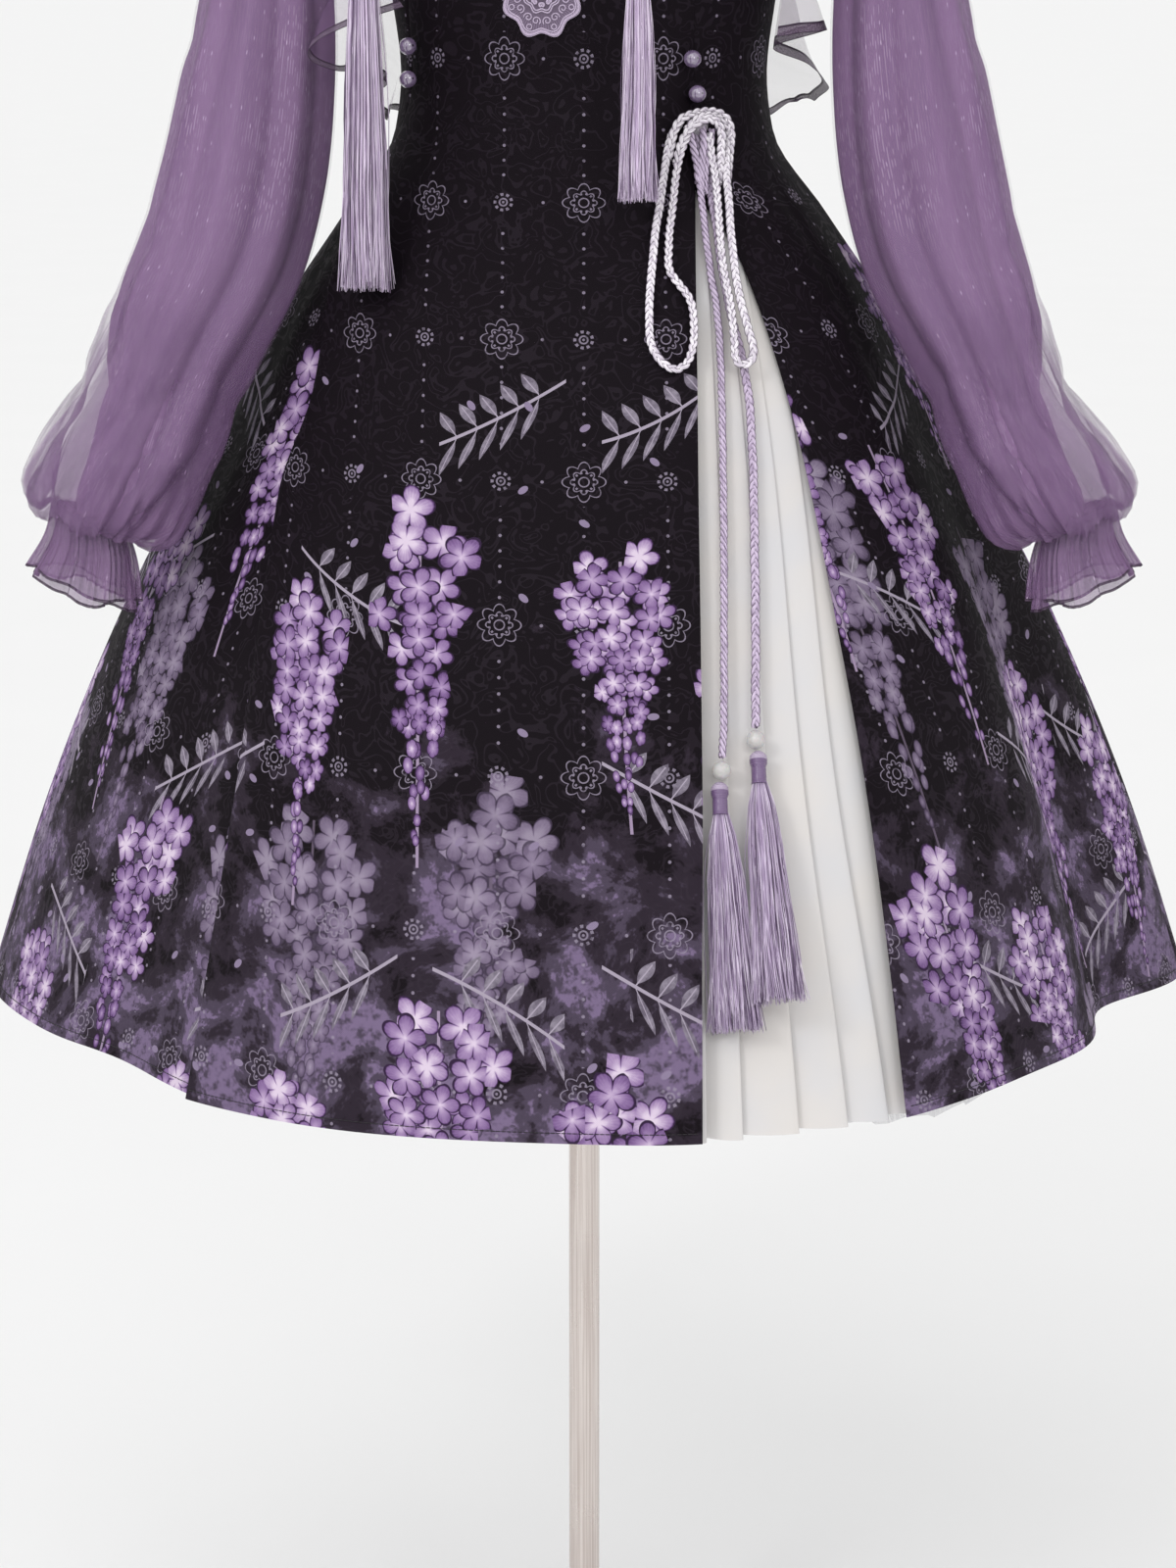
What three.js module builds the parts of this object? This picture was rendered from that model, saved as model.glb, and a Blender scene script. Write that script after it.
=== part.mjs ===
// An East Asian style dress set on a limbless dress form with a pole stand.
// A sleeveless black A-line dress has a front flap edged by a slit over a white pleated insert,
// a net petticoat, bead buttons, a lace medallion and a tied braided cord with two tassels.
// Over it goes a sheer open bolero with full sleeves, ruffled cuffs and a flounce.
//
// Millimetres, +Z up. The set faces -Y and the wearer's left is +X, so "left" and "right" are the wearer's.
// Heights in the tables are measured from the waist. Angles go round the body from the front centre.
import * as THREE from "three";

// ---------------------------------------------------------------- driving sizes
const WAIST_Z = 1100; // waist above the floor
const CLOTH = 1.5; // wall of the dress cloth
const SHEER = 1; // wall of the sheer cloth and of the net
const GAP = 0.4; // between pieces that meet

const HEM = -584;
const NECK = { front: 292, back: 362, top: 380, half: 76 }; // lowest points, shoulder height, half width
const NECK_END = NECK.top - 1; // where the dress ends beside the neck
const SHOULDER = 372; // where the front panel's seams reach the shoulder seam
const ARMHOLE = { middle: 292, half: 56, reach: 28 }; // height, half height, degrees to each side
const SLIT_TOP = -61;
const FLAP_LIFT = 3.8; // the front flap lies this far out over the panel at its side
const UNDERLAP = 26;

const BOLERO_LIFT = 5;
const BOLERO_HEM = 100;
const BOLERO_TOP = 374;

const CORD_R = 2.4;
const BEAD_R = 5.4;

// The stand under the form, and the turned cap on its neck as radii and heights.
const POLE_R = 10;
const BASE = { radius: 175, edge: 7, rise: 13 };
const COLLAR = { bottom: 24, top: 20, height: 34 };
const FLANGE = { bottom: 26, top: 42, height: 12 };
const NECK_CAP = [
  { r: 0, up: 0 },
  { r: 45, up: 0 },
  { r: 47, up: 5 },
  { r: 43, up: 12 },
  { r: 12, up: 15 },
  { r: 9, up: 22 },
  { r: 14, up: 34 },
  { r: 8, up: 45 },
  { r: 0, up: 46 },
];

// Half widths and depths of the dress, worn.
const OUTLINE = [
  { z: 385, side: 66, front: 56, back: 60 },
  { z: SHOULDER, side: 92, front: 61, back: 68 },
  { z: 355, side: 124, front: 68, back: 78 },
  { z: 335, side: 152, front: 80, back: 92 },
  { z: 290, side: 156, front: 100, back: 104 },
  { z: 230, side: 149, front: 122, back: 106 },
  { z: 170, side: 142, front: 134, back: 102 },
  { z: 110, side: 131, front: 112, back: 96 },
  { z: 45, side: 119, front: 97, back: 90 },
  { z: 0, side: 114, front: 92, back: 88 },
  { z: -35, side: 118, front: 98, back: 98 },
  { z: -85, side: 150, front: 124, back: 128 },
  { z: -140, side: 187, front: 158, back: 165 },
  { z: -210, side: 224, front: 198, back: 205 },
  { z: -310, side: 281, front: 259, back: 264 },
  { z: -450, side: 341, front: 326, back: 330 },
  { z: -590, side: 387, front: 374, back: 374 },
];

// The dress form inside it, from the top of the neck to the underside of the hips.
const FORM = [
  { z: 452, side: 47, front: 45, back: 49 },
  { z: 410, side: 49, front: 45, back: 50 },
  { z: 392, side: 53, front: 46, back: 50 },
  { z: SHOULDER, side: 78, front: 50, back: 56 },
  { z: 355, side: 108, front: 58, back: 67 },
  { z: 335, side: 138, front: 69, back: 80 },
  { z: 290, side: 148, front: 92, back: 96 },
  { z: 230, side: 142, front: 115, back: 99 },
  { z: 170, side: 135, front: 126, back: 95 },
  { z: 110, side: 124, front: 105, back: 89 },
  { z: 45, side: 112, front: 90, back: 83 },
  { z: 0, side: 107, front: 85, back: 81 },
  { z: -35, side: 110, front: 90, back: 90 },
  { z: -85, side: 130, front: 102, back: 107 },
  { z: -140, side: 146, front: 110, back: 119 },
  { z: -200, side: 151, front: 112, back: 124 },
  { z: -240, side: 145, front: 106, back: 118 },
];

// Flutes of the skirt at the hem: where they are, how wide, and how far they stand out (+) or sink in (-).
const FLUTES = [
  { angle: -33, width: 9, depth: -6 },
  { angle: 9, width: 9, depth: 8 },
  { angle: 50, width: 16, depth: -18 },
  { angle: 72, width: 11, depth: -40 },
  { angle: 96, width: 11, depth: 12 },
  { angle: 116, width: 11, depth: -15 },
  { angle: 136, width: 11, depth: 8 },
  { angle: 155, width: 10, depth: -14 },
  { angle: 174, width: 12, depth: 8 },
  { angle: -164, width: 11, depth: -13 },
  { angle: -142, width: 12, depth: 8 },
  { angle: -119, width: 10, depth: -14 },
  { angle: -98, width: 11, depth: 5 },
  { angle: -68, width: 12, depth: -11 },
  { angle: -50, width: 12, depth: -24 },
];

// How far the hem rises at each angle. The front flap keeps the level hem.
const HEMLINE = [
  { angle: -180, rise: 0 },
  { angle: -110, rise: 0 },
  { angle: -90, rise: 7 },
  { angle: -76, rise: 8 },
  { angle: -58, rise: 8 },
  { angle: -42, rise: 4 },
  { angle: -30, rise: 0 },
  { angle: 25, rise: 0 },
  { angle: 36, rise: 3 },
  { angle: 50, rise: 6 },
  { angle: 76, rise: 8 },
  { angle: 96, rise: 5 },
  { angle: 120, rise: 0 },
  { angle: 180, rise: 0 },
];

// Edges of the dress panels on the front, as distances from the centre plane.
const SEAMS = [
  { z: 385, right: 92, left: 92, slit: 92 },
  { z: SHOULDER, right: 92, left: 92, slit: 92 },
  { z: 300, right: 95, left: 85, slit: 85 },
  { z: 170, right: 99, left: 74, slit: 74 },
  { z: 45, right: 108, left: 67, slit: 67 },
  { z: 0, right: 106, left: 67, slit: 67 },
  { z: SLIT_TOP, right: 124, left: 66, slit: 66 },
  { z: -97, right: 147, left: 66, slit: 90 },
  { z: -190, right: 166, left: 66, slit: 124 },
  { z: -243, right: 187, left: 66, slit: 137 },
  { z: -300, right: 196, left: 66, slit: 148 },
  { z: -400, right: 209, left: 66, slit: 166 },
  { z: -500, right: 225, left: 65, slit: 179 },
  { z: HEM, right: 239, left: 65, slit: 188 },
];

// Front edge of the bolero, as a distance from the centre plane.
const BOLERO_EDGE = [
  { z: 376, x: 81 },
  { z: 350, x: 81 },
  { z: 300, x: 88 },
  { z: 230, x: 104 },
  { z: 170, x: 120 },
  { z: BOLERO_HEM, x: 127 },
];

// Flounce of the bolero from the right front edge round the back to the left one:
// the angle at its seam and at its hem, how far the hem stands out from the body, and its height.
const FLOUNCE = [
  { seam: -80, hem: -48, reach: 30, z: 46 },
  { seam: -83, hem: -54, reach: 62, z: 40 },
  { seam: -86, hem: -60, reach: 82, z: 26 },
  { seam: -89, hem: -58, reach: 68, z: 8 },
  { seam: -92, hem: -70, reach: 34, z: 2 },
  { seam: -97, hem: -80, reach: 10, z: -8 },
  { seam: -103, hem: -97, reach: 30, z: -22 },
  { seam: -111, hem: -111, reach: 18, z: -34 },
  { seam: -121, hem: -127, reach: 42, z: -42 },
  { seam: -132, hem: -138, reach: 20, z: -45 },
  { seam: -144, hem: -149, reach: 44, z: -46 },
  { seam: -156, hem: -160, reach: 20, z: -46 },
  { seam: -168, hem: -170, reach: 44, z: -46 },
  { seam: -180, hem: -181, reach: 20, z: -46 },
  { seam: -192, hem: -192, reach: 44, z: -46 },
  { seam: -203, hem: -203, reach: 20, z: -46 },
  { seam: -213, hem: -213, reach: 42, z: -47 },
  { seam: -222, hem: -222, reach: 24, z: -47 },
  { seam: -230, hem: -230, reach: 42, z: -42 },
  { seam: -238, hem: -240, reach: 60, z: -24 },
  { seam: -247, hem: -254, reach: 46, z: -8 },
  { seam: -254, hem: -261, reach: 30, z: 6 },
  { seam: -261, hem: -265, reach: 5, z: 16 },
  { seam: -267, hem: -276, reach: 36, z: 32 },
  { seam: -273, hem: -282, reach: 21, z: 28 },
  { seam: -280, hem: -288, reach: 9, z: 24 },
];

// Rings of the left sleeve from just outside the armhole to the wrist: centre, radii across and
// front to back, and how far the ring's axis leans out from straight down, in degrees.
const SLEEVE = [
  { x: 172, y: 0, z: 292, across: 53, deep: 46, lean: 74 },
  { x: 192, y: -3, z: 265, across: 49, deep: 50, lean: 46 },
  { x: 199, y: -8, z: 208, across: 41, deep: 50, lean: 16 },
  { x: 195, y: -17, z: 130, across: 40, deep: 48, lean: 3 },
  { x: 194, y: -30, z: 45, across: 42, deep: 47, lean: 4 },
  { x: 199, y: -42, z: 0, across: 47, deep: 49, lean: 8 },
  { x: 208, y: -56, z: -60, across: 50, deep: 51, lean: 12 },
  { x: 219, y: -70, z: -105, across: 49, deep: 52, lean: 18 },
  { x: 240, y: -90, z: -155, across: 44, deep: 52, lean: 25 },
  { x: 264, y: -106, z: -208, across: 44, deep: 51, lean: 26 },
  { x: 284, y: -114, z: -242, across: 48, deep: 50, lean: 24 },
  { x: 295, y: -116, z: -260, across: 46, deep: 46, lean: 21 },
  { x: 299, y: -116, z: -268, across: 35, deep: 36, lean: 19 },
  { x: 301, y: -116, z: -259, across: 24, deep: 24, lean: 17 },
];
const LINING = { rings: [2, 4, 6, 7, 8, 9, 10], inset: 4.5, slack: 12, wrist: 20 };
const CUFF = [
  { x: 301, y: -116, z: -260, radius: 23, wave: 0.5, lean: 17 },
  { x: 305, y: -116, z: -280, radius: 25, wave: 2, lean: 18 },
  { x: 311, y: -116, z: -304, radius: 31, wave: 4.5, lean: 20 },
];
const CUFF_FLUTES = 6;

// Routes of the tied cord, as places on the skirt's front: distance from the centre plane, height
// and how far the cord's middle lies out from the cloth.
const KNOT = { x: 64.5, z: -26, lift: 10, wide: 7, deep: 5.5, high: 6 };
const CORDS = {
  bow_loop_right: [
    { x: 54, z: -30, lift: 9.5 },
    { x: 50, z: -36, lift: 9 },
    { x: 48, z: -45, lift: 8.5 },
    { x: 46.5, z: -59, lift: 8 },
    { x: 43.5, z: -77, lift: 7.6 },
    { x: 40.4, z: -99, lift: 7.4 },
    { x: 38.8, z: -121, lift: 7.4 },
    { x: 37.6, z: -142, lift: 7.4 },
    { x: 40.3, z: -160.5, lift: 7.4 },
    { x: 45.2, z: -167.5, lift: 7.4 },
    { x: 51.9, z: -171, lift: 7.4 },
    { x: 57.5, z: -168.5, lift: 7.8 },
    { x: 61, z: -162, lift: 8 },
    { x: 62.8, z: -146, lift: 8 },
    { x: 59.4, z: -130, lift: 7.6 },
    { x: 54.4, z: -123.5, lift: 7.4 },
    { x: 49.5, z: -117, lift: 7.4 },
    { x: 48.6, z: -101, lift: 7.6 },
    { x: 50.3, z: -83, lift: 8.5 },
    { x: 52, z: -66, lift: 11 },
    { x: 53.5, z: -53, lift: 12 },
    { x: 55.5, z: -44, lift: 12.5 },
    { x: 57.5, z: -37.5, lift: 13 },
  ],
  bow_loop_left: [
    { x: 75.5, z: -28.5, lift: 11 },
    { x: 79, z: -36.5, lift: 12 },
    { x: 79.5, z: -47, lift: 12.5 },
    { x: 80.6, z: -65, lift: 12.5 },
    { x: 82.5, z: -84, lift: 12 },
    { x: 84.5, z: -105, lift: 11.5 },
    { x: 87, z: -124, lift: 11.5 },
    { x: 90.4, z: -140, lift: 11 },
    { x: 95, z: -155, lift: 10 },
    { x: 97.2, z: -164.5, lift: 9.4 },
    { x: 94.5, z: -170, lift: 9.4 },
    { x: 90, z: -167, lift: 9.4 },
    { x: 87.2, z: -155, lift: 9 },
    { x: 84.9, z: -140, lift: 8.6 },
    { x: 82, z: -124, lift: 8.6 },
    { x: 79, z: -105, lift: 9 },
    { x: 76.5, z: -80, lift: 10.6 },
    { x: 73.5, z: -61, lift: 12 },
    { x: 70, z: -45, lift: 13.5 },
    { x: 68.5, z: -37.5, lift: 14 },
  ],
  bow_tail_right: [
    { x: 64.8, z: -35.5, lift: 7.8 },
    { x: 65.5, z: -53, lift: 7.4 },
    { x: 68.2, z: -74, lift: 6.8 },
    { x: 72, z: -95, lift: 3.5 },
    { x: 75.5, z: -115, lift: 1.2 },
    { x: 78.8, z: -133, lift: 0.6 },
    { x: 80.8, z: -153, lift: 0 },
    { x: 81.6, z: -181, lift: 0 },
    { x: 81.8, z: -225, lift: 0 },
    { x: 81.6, z: -258, lift: 0 },
    { x: 81.1, z: -289, lift: 0 },
    { x: 80.6, z: -315, lift: 0 },
    { x: 80.2, z: -341, lift: 0 },
    { x: 79.6, z: -362, lift: 0 },
    { x: 78.6, z: -379, lift: 0 },
  ],
  bow_tail_left: [
    { x: 71, z: -40, lift: 7.8 },
    { x: 72, z: -53, lift: 6 },
    { x: 73.8, z: -66, lift: 5 },
    { x: 77.6, z: -87, lift: 4.2 },
    { x: 82.6, z: -115, lift: 1.8 },
    { x: 88.9, z: -144, lift: 1 },
    { x: 94.5, z: -166, lift: 0.8 },
    { x: 97.4, z: -181, lift: 0.4 },
    { x: 99.3, z: -203, lift: 0 },
    { x: 100, z: -226, lift: 0 },
    { x: 100, z: -258, lift: 0 },
    { x: 99.9, z: -290, lift: 0 },
    { x: 99.5, z: -320, lift: 0 },
    { x: 99, z: -344, lift: 0 },
    { x: 98.6, z: -364, lift: 0 },
  ],
};
// What hangs from each tail: middle of its bead, then the tassel's head and fringe down the cloth.
const TAIL_BEAD_R = 5.6;
const TAIL_ENDS = {
  right: { bead: -386, beadX: 77.8, head: -392.5, headX: 76.5, neck: -410, tip: -527, tipX: 84.4, out: 1.5 },
  left: { bead: -371, beadX: 98.4, head: -377.5, headX: 99.6, neck: -395, tip: -514, tipX: 103, out: 17.5 },
};
const TAIL_FRINGE = { neck: 5.2, tip: 15, flat: 0.45, lift: 2 };

// Tassels on the chest: the sewn button and what lies under it, then the drop of the head and fringe.
const CHEST_TASSELS = {
  right: { button: [-121, 118], under: 8, x: -131, y: -114, neck: 76, tip: -127, tipY: -126, radius: 15.5 },
  left: { button: [32, 152], under: 0, x: 32, y: -148, neck: 74, tip: -72, tipY: -148, radius: 11.5 },
};
const CHEST_CORD_END = 92;
const HEAD_R = 5.2;
const CHEST_CORD_R = 1.5;

const BUTTONS = [
  { x: -101.8, z: 18.3 },
  { x: -101.9, z: -2.7 },
  { x: 62.3, z: 11.2 },
  { x: 65.2, z: -11.1 },
];
const MEDALLION = { x: -25, z: 50, radius: 24, tall: 1.12, lobes: 8, lobe: 0.07 };

const PLEATS = { shorter: 4, count: 7, depth: 5, top: -50, topLift: -3.2, hemLift: -9, fold: 0.88 };
const PETTICOAT = { top: -112, topLift: -9, hemLift: -27, columns: 36 };

// ---------------------------------------------------------------- materials
function finish(color, roughness, metalness = 0) {
  return new THREE.MeshStandardMaterial({ color, roughness, metalness });
}
const BLACK_CLOTH = finish(0x1f1a20, 0.75);
const WHITE_CLOTH = finish(0xe4e1df, 0.8);
const WHITE_NET = finish(0xf0eef0, 0.8);
const SHEER_CLOTH = finish(0x8c7292, 0.5);
const LAVENDER_SILK = finish(0xb5a3c0, 0.45);
const CORD_SILK = finish(0xd8cfdd, 0.5);
const LACE = finish(0xa48fb0, 0.7);
const BEAD = finish(0x9585a5, 0.15);
const CLEAR_BEAD = finish(0xe6e6e4, 0.1);
const FORM_COVER = finish(0xd9d2c8, 0.85);
const STEEL = finish(0xcfc6c0, 0.2, 0.9);
const CAP_WOOD = finish(0xb89470, 0.5);

// ---------------------------------------------------------------- tables and places on the cloth
const RADIANS = Math.PI / 180;

// Smooth value of one column of a table at z. Slopes at the rows never overshoot.
function column(table, key, z, along = "z") {
  const rows = table[0][along] < table.at(-1)[along] ? table : [...table].reverse();
  const last = rows.length - 1;
  if (z <= rows[0][along]) return rows[0][key];
  if (z >= rows[last][along]) return rows[last][key];
  let i = 0;
  while (z > rows[i + 1][along]) i += 1;
  const run = (k) => rows[k + 1][along] - rows[k][along];
  const rise = (k) => (rows[k + 1][key] - rows[k][key]) / run(k);
  const slope = (k) => {
    if (k === 0) return rise(0);
    if (k === last) return rise(last - 1);
    const [a, b] = [rise(k - 1), rise(k)];
    return a * b <= 0 ? 0 : (2 * a * b) / (a + b);
  };
  const t = (z - rows[i][along]) / run(i);
  const [t2, t3] = [t * t, t * t * t];
  return (
    (2 * t3 - 3 * t2 + 1) * rows[i][key] +
    (t3 - 2 * t2 + t) * run(i) * slope(i) +
    (3 * t2 - 2 * t3) * rows[i + 1][key] +
    (t3 - t2) * run(i) * slope(i + 1)
  );
}

function smoothstep(from, to, value) {
  const t = THREE.MathUtils.clamp((value - from) / (to - from), 0, 1);
  return t * t * (3 - 2 * t);
}

// How far the flutes move the cloth out at an angle and height.
function flute(angle, z) {
  const grown = smoothstep(-50, HEM, z);
  return FLUTES.reduce((sum, f) => {
    const away = ((((angle - f.angle) % 360) + 540) % 360) - 180;
    return sum + grown * f.depth * Math.exp(-((away / f.width) ** 2));
  }, 0);
}

function bareCloth(angle, z) {
  const a = angle * RADIANS;
  const depth = column(OUTLINE, Math.cos(a) > 0 ? "front" : "back", z);
  const out = flute(angle, z);
  return new THREE.Vector3(
    (column(OUTLINE, "side", z) + out) * Math.sin(a),
    -(depth + out) * Math.cos(a),
    WAIST_Z + z,
  );
}

// The way out of the cloth at an angle and height.
function outward(angle, z) {
  const step = 0.5;
  const round = bareCloth(angle + step, z).sub(bareCloth(angle - step, z));
  const up = bareCloth(angle, z + step).sub(bareCloth(angle, z - step));
  return round.cross(up).normalize();
}

// A place over the cloth of the dress: angle round the body, height from the waist, distance out.
// It keeps its angle and the way out, for the pieces that are made of such places.
function onCloth(angle, z, lift = 0) {
  const out = outward(angle, z);
  return Object.assign(bareCloth(angle, z).addScaledVector(out, lift), { angle, out });
}

function hemRise(angle, z) {
  return column(HEMLINE, "rise", angle, "angle") * smoothstep(-350, HEM, z);
}

// The angle at which the dress has this distance from the centre plane, on the front.
function angleAt(x, z) {
  return Math.asin(THREE.MathUtils.clamp(x / column(OUTLINE, "side", z), -1, 1)) / RADIANS;
}

function onFront(x, z, lift = 0) {
  return onCloth(angleAt(x, z), z, lift);
}

// A gap between two edges, turned into degrees at that height.
function gapAngle(z) {
  return GAP / 2 / column(OUTLINE, "side", z) / RADIANS;
}

// How far the armhole reaches from the side, in degrees.
function armholeReach(z, grow = 0) {
  const t = (z - ARMHOLE.middle) / (ARMHOLE.half + grow);
  return Math.abs(t) < 1 ? ARMHOLE.reach * Math.sqrt(1 - t * t) : 0;
}

// Angle of the neckline from the front or back centre: a quarter of an ellipse up to the shoulder.
function necklineAngle(z, lowest) {
  if (z <= lowest) return 0;
  const t = (NECK.top - z) / (NECK.top - lowest);
  return angleAt(NECK.half * Math.sqrt(1 - t * t), z);
}

// ---------------------------------------------------------------- sheets and walls
// Points that meet become one, so that the rows and pieces of a sheet hang together.
class Sheet {
  points = [];
  faces = [];
  #seen = new Map();

  index(point) {
    const key = point.toArray().map((v) => Math.round(v * 1000)).join();
    if (!this.#seen.has(key)) this.#seen.set(key, this.points.push(point) - 1);
    return this.#seen.get(key);
  }

  face(...corners) {
    const face = corners.map((point) => this.index(point));
    if (new Set(face).size === 3) this.faces.push(face);
  }
}

// A sheet through rows of equally many points. Rows go up, columns go with the angle.
function sheet(rows, closed = false) {
  const result = new Sheet();
  for (let r = 0; r + 1 < rows.length; r += 1) {
    const [lower, upper] = [rows[r], rows[r + 1]];
    for (let c = 0; c < (closed ? lower.length : lower.length - 1); c += 1) {
      const next = (c + 1) % lower.length;
      result.face(lower[c], lower[next], upper[next]);
      result.face(lower[c], upper[next], upper[c]);
    }
  }
  return result;
}

// A sheet through rows whose points lie at angles of their own, joined in order of angle.
function zipped(rowSets) {
  const result = new Sheet();
  for (const rows of rowSets) {
    for (let r = 0; r + 1 < rows.length; r += 1) {
      const [lower, upper] = [rows[r], rows[r + 1]];
      let [i, j] = [0, 0];
      while (i + 1 < lower.length || j + 1 < upper.length) {
        const below = lower[i + 1]?.angle ?? Infinity;
        const above = upper[j + 1]?.angle ?? Infinity;
        if (below <= above) {
          result.face(lower[i], lower[i + 1], upper[j]);
          i += 1;
        } else {
          result.face(lower[i], upper[j + 1], upper[j]);
          j += 1;
        }
      }
    }
  }
  return result;
}

function mirrored({ points, faces }) {
  return {
    points: points.map((p) => new THREE.Vector3(-p.x, p.y, p.z)),
    faces: faces.map(([a, b, c]) => [a, c, b]),
  };
}

function geometryOf(points, faces) {
  const geometry = new THREE.BufferGeometry();
  geometry.setAttribute(
    "position",
    new THREE.Float32BufferAttribute(points.flatMap((p) => p.toArray()), 3),
  );
  geometry.setIndex(faces.flat());
  geometry.computeVertexNormals();
  return geometry;
}

// A closed wall: the sheet, a copy moved in by the thickness, and a rim along every free edge.
function wall({ points, faces }, thickness) {
  const normals = geometryOf(points, faces).getAttribute("normal");
  const out = (p, i) => p.out ?? new THREE.Vector3().fromBufferAttribute(normals, i);
  const inner = points.map((p, i) => p.clone().addScaledVector(out(p, i), -thickness));
  const count = points.length;
  const edges = new Set(faces.flatMap(([a, b, c]) => [`${a},${b}`, `${b},${c}`, `${c},${a}`]));
  const rim = [...edges].flatMap((edge) => {
    const [a, b] = edge.split(",").map(Number);
    if (edges.has(`${b},${a}`)) return [];
    return [
      [b, a, a + count],
      [b, a + count, b + count],
    ];
  });
  const back = faces.map(([a, b, c]) => [c + count, b + count, a + count]);
  return geometryOf([...points, ...inner], [...faces, ...back, ...rim]);
}

// A solid through rings of equal length, with a flat cap at each end.
function loft(rings) {
  const solid = sheet(rings, true);
  const [bottom, top] = [rings[0], rings.at(-1)];
  for (let k = 1; k + 1 < bottom.length; k += 1) {
    solid.face(bottom[0], bottom[k + 1], bottom[k]);
    solid.face(top[0], top[k], top[k + 1]);
  }
  return geometryOf(solid.points, solid.faces);
}

// Even steps from one value to another, both ends included.
function steps(from, to, count) {
  return Array.from({ length: count + 1 }, (_, i) => from + ((to - from) * i) / count);
}

// Heights of the rows of facets on the dress, and how near a row may come to a piece's own edge.
const SKIRT_ROWS = [HEM, -470, -350, -240, -160, -100, SLIT_TOP, -30];
const BODICE_ROWS = [0, 30, 60, 90, 120, 155, 195];
const ARMHOLE_ROWS = steps(180, 0, 6).map(
  (turn) => ARMHOLE.middle + ARMHOLE.half * Math.cos(turn * RADIANS),
);
const SHOULDER_ROWS = [NECK.back, 367, SHOULDER, NECK_END];
const ROWS = [...SKIRT_ROWS, ...BODICE_ROWS, ...ARMHOLE_ROWS, ...SHOULDER_ROWS];
const ROW_MARGIN = 4;
const COLUMN_MARGIN = 1.5; // degrees

function rowsBetween(low, high) {
  return [low, ...ROWS.filter((z) => z > low + ROW_MARGIN && z < high - ROW_MARGIN), high];
}

// The rows of a strip of cloth between two edges, given as functions of the height. Inner points
// stand at round angles, close together on the skirt, so that layers on each other never cross.
function strip(heights, from, to, lift, rise = hemRise) {
  return heights.map((z) => {
    const [first, last] = [from(z), to(z)];
    const pitch = z < -5 ? 7.5 : 15;
    const inside = (a) => a > first + COLUMN_MARGIN && a < last - COLUMN_MARGIN;
    const inner = steps(-180, 180, 360 / pitch).filter(inside);
    const angles = last - first < 0.2 ? [first] : [first, ...inner, last];
    return angles.map((angle) => onCloth(angle, z + rise(angle, z), lift(z)));
  });
}

// ---------------------------------------------------------------- dress
const flat = () => 0;
const flapLift = (z) => FLAP_LIFT * smoothstep(-8, SLIT_TOP, z);
const rightEdge = (z) => -angleAt(column(SEAMS, "right", z), z);
const leftEdge = (z) => angleAt(column(SEAMS, "left", z), z);
const shoulderSeam = (z) => 90 - armholeReach(z) - gapAngle(z);
const sideSeamBack = (z) => 90 + armholeReach(z) + gapAngle(z);

function frontPanel() {
  const heights = rowsBetween(HEM, NECK_END);
  const neck = (z) => necklineAngle(z, NECK.front);
  const rightHalf = strip(heights, (z) => rightEdge(z) + gapAngle(z), (z) => -neck(z), flapLift, flat);
  const leftHalf = strip(heights, neck, (z) => leftEdge(z) - gapAngle(z), flapLift, flat);
  return wall(zipped([rightHalf, leftHalf]), CLOTH);
}

// The side panels run from the front panel's edges to the side seams and round the armhole, and
// end in a point where the front panel's seam meets the shoulder seam.
function sidePanelRight() {
  const edge = (z) => {
    const lap = UNDERLAP * smoothstep(SLIT_TOP, -110, z);
    return -angleAt(column(SEAMS, "right", z) - lap, z) - gapAngle(z);
  };
  return wall(zipped([strip(rowsBetween(HEM, SHOULDER), (z) => -shoulderSeam(z), edge, flat)]), CLOTH);
}

function sidePanelLeft() {
  const edge = (z) => angleAt(column(SEAMS, "slit", z), z) + gapAngle(z);
  return wall(zipped([strip(rowsBetween(HEM, SHOULDER), edge, shoulderSeam, flat)]), CLOTH);
}

function backPanels() {
  const heights = rowsBetween(HEM, NECK_END);
  const neck = (z) => 180 - necklineAngle(z, NECK.back) - gapAngle(z);
  return {
    left: wall(zipped([strip(heights, sideSeamBack, neck, flat)]), CLOTH),
    right: wall(zipped([strip(heights, (z) => -neck(z), (z) => -sideSeamBack(z), flat)]), CLOTH),
  };
}

// Knife pleats behind the slit: each comes out slowly across its width and drops back at its fold.
function pleatedInsert() {
  const heights = rowsBetween(HEM + PLEATS.shorter, PLEATS.top);
  return wall(
    sheet(
      heights.map((z) => {
        const down = smoothstep(PLEATS.top, HEM, z);
        const from = angleAt(THREE.MathUtils.lerp(50, 34, down), z);
        const to = angleAt(column(SEAMS, "slit", z) + THREE.MathUtils.lerp(8, 34, down), z);
        const base = THREE.MathUtils.lerp(PLEATS.topLift, PLEATS.hemLift, down);
        const depth = PLEATS.depth * (0.25 + 0.75 * down);
        const row = [];
        for (let k = 0; k < PLEATS.count; k += 1) {
          for (const [share, inward] of [[0, 1], [PLEATS.fold, 0]]) {
            const angle = from + ((to - from) * (k + share)) / PLEATS.count;
            row.push(onCloth(angle, z + hemRise(angle, z), base - depth * inward));
          }
        }
        return row;
      }),
    ),
    CLOTH,
  );
}

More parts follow.
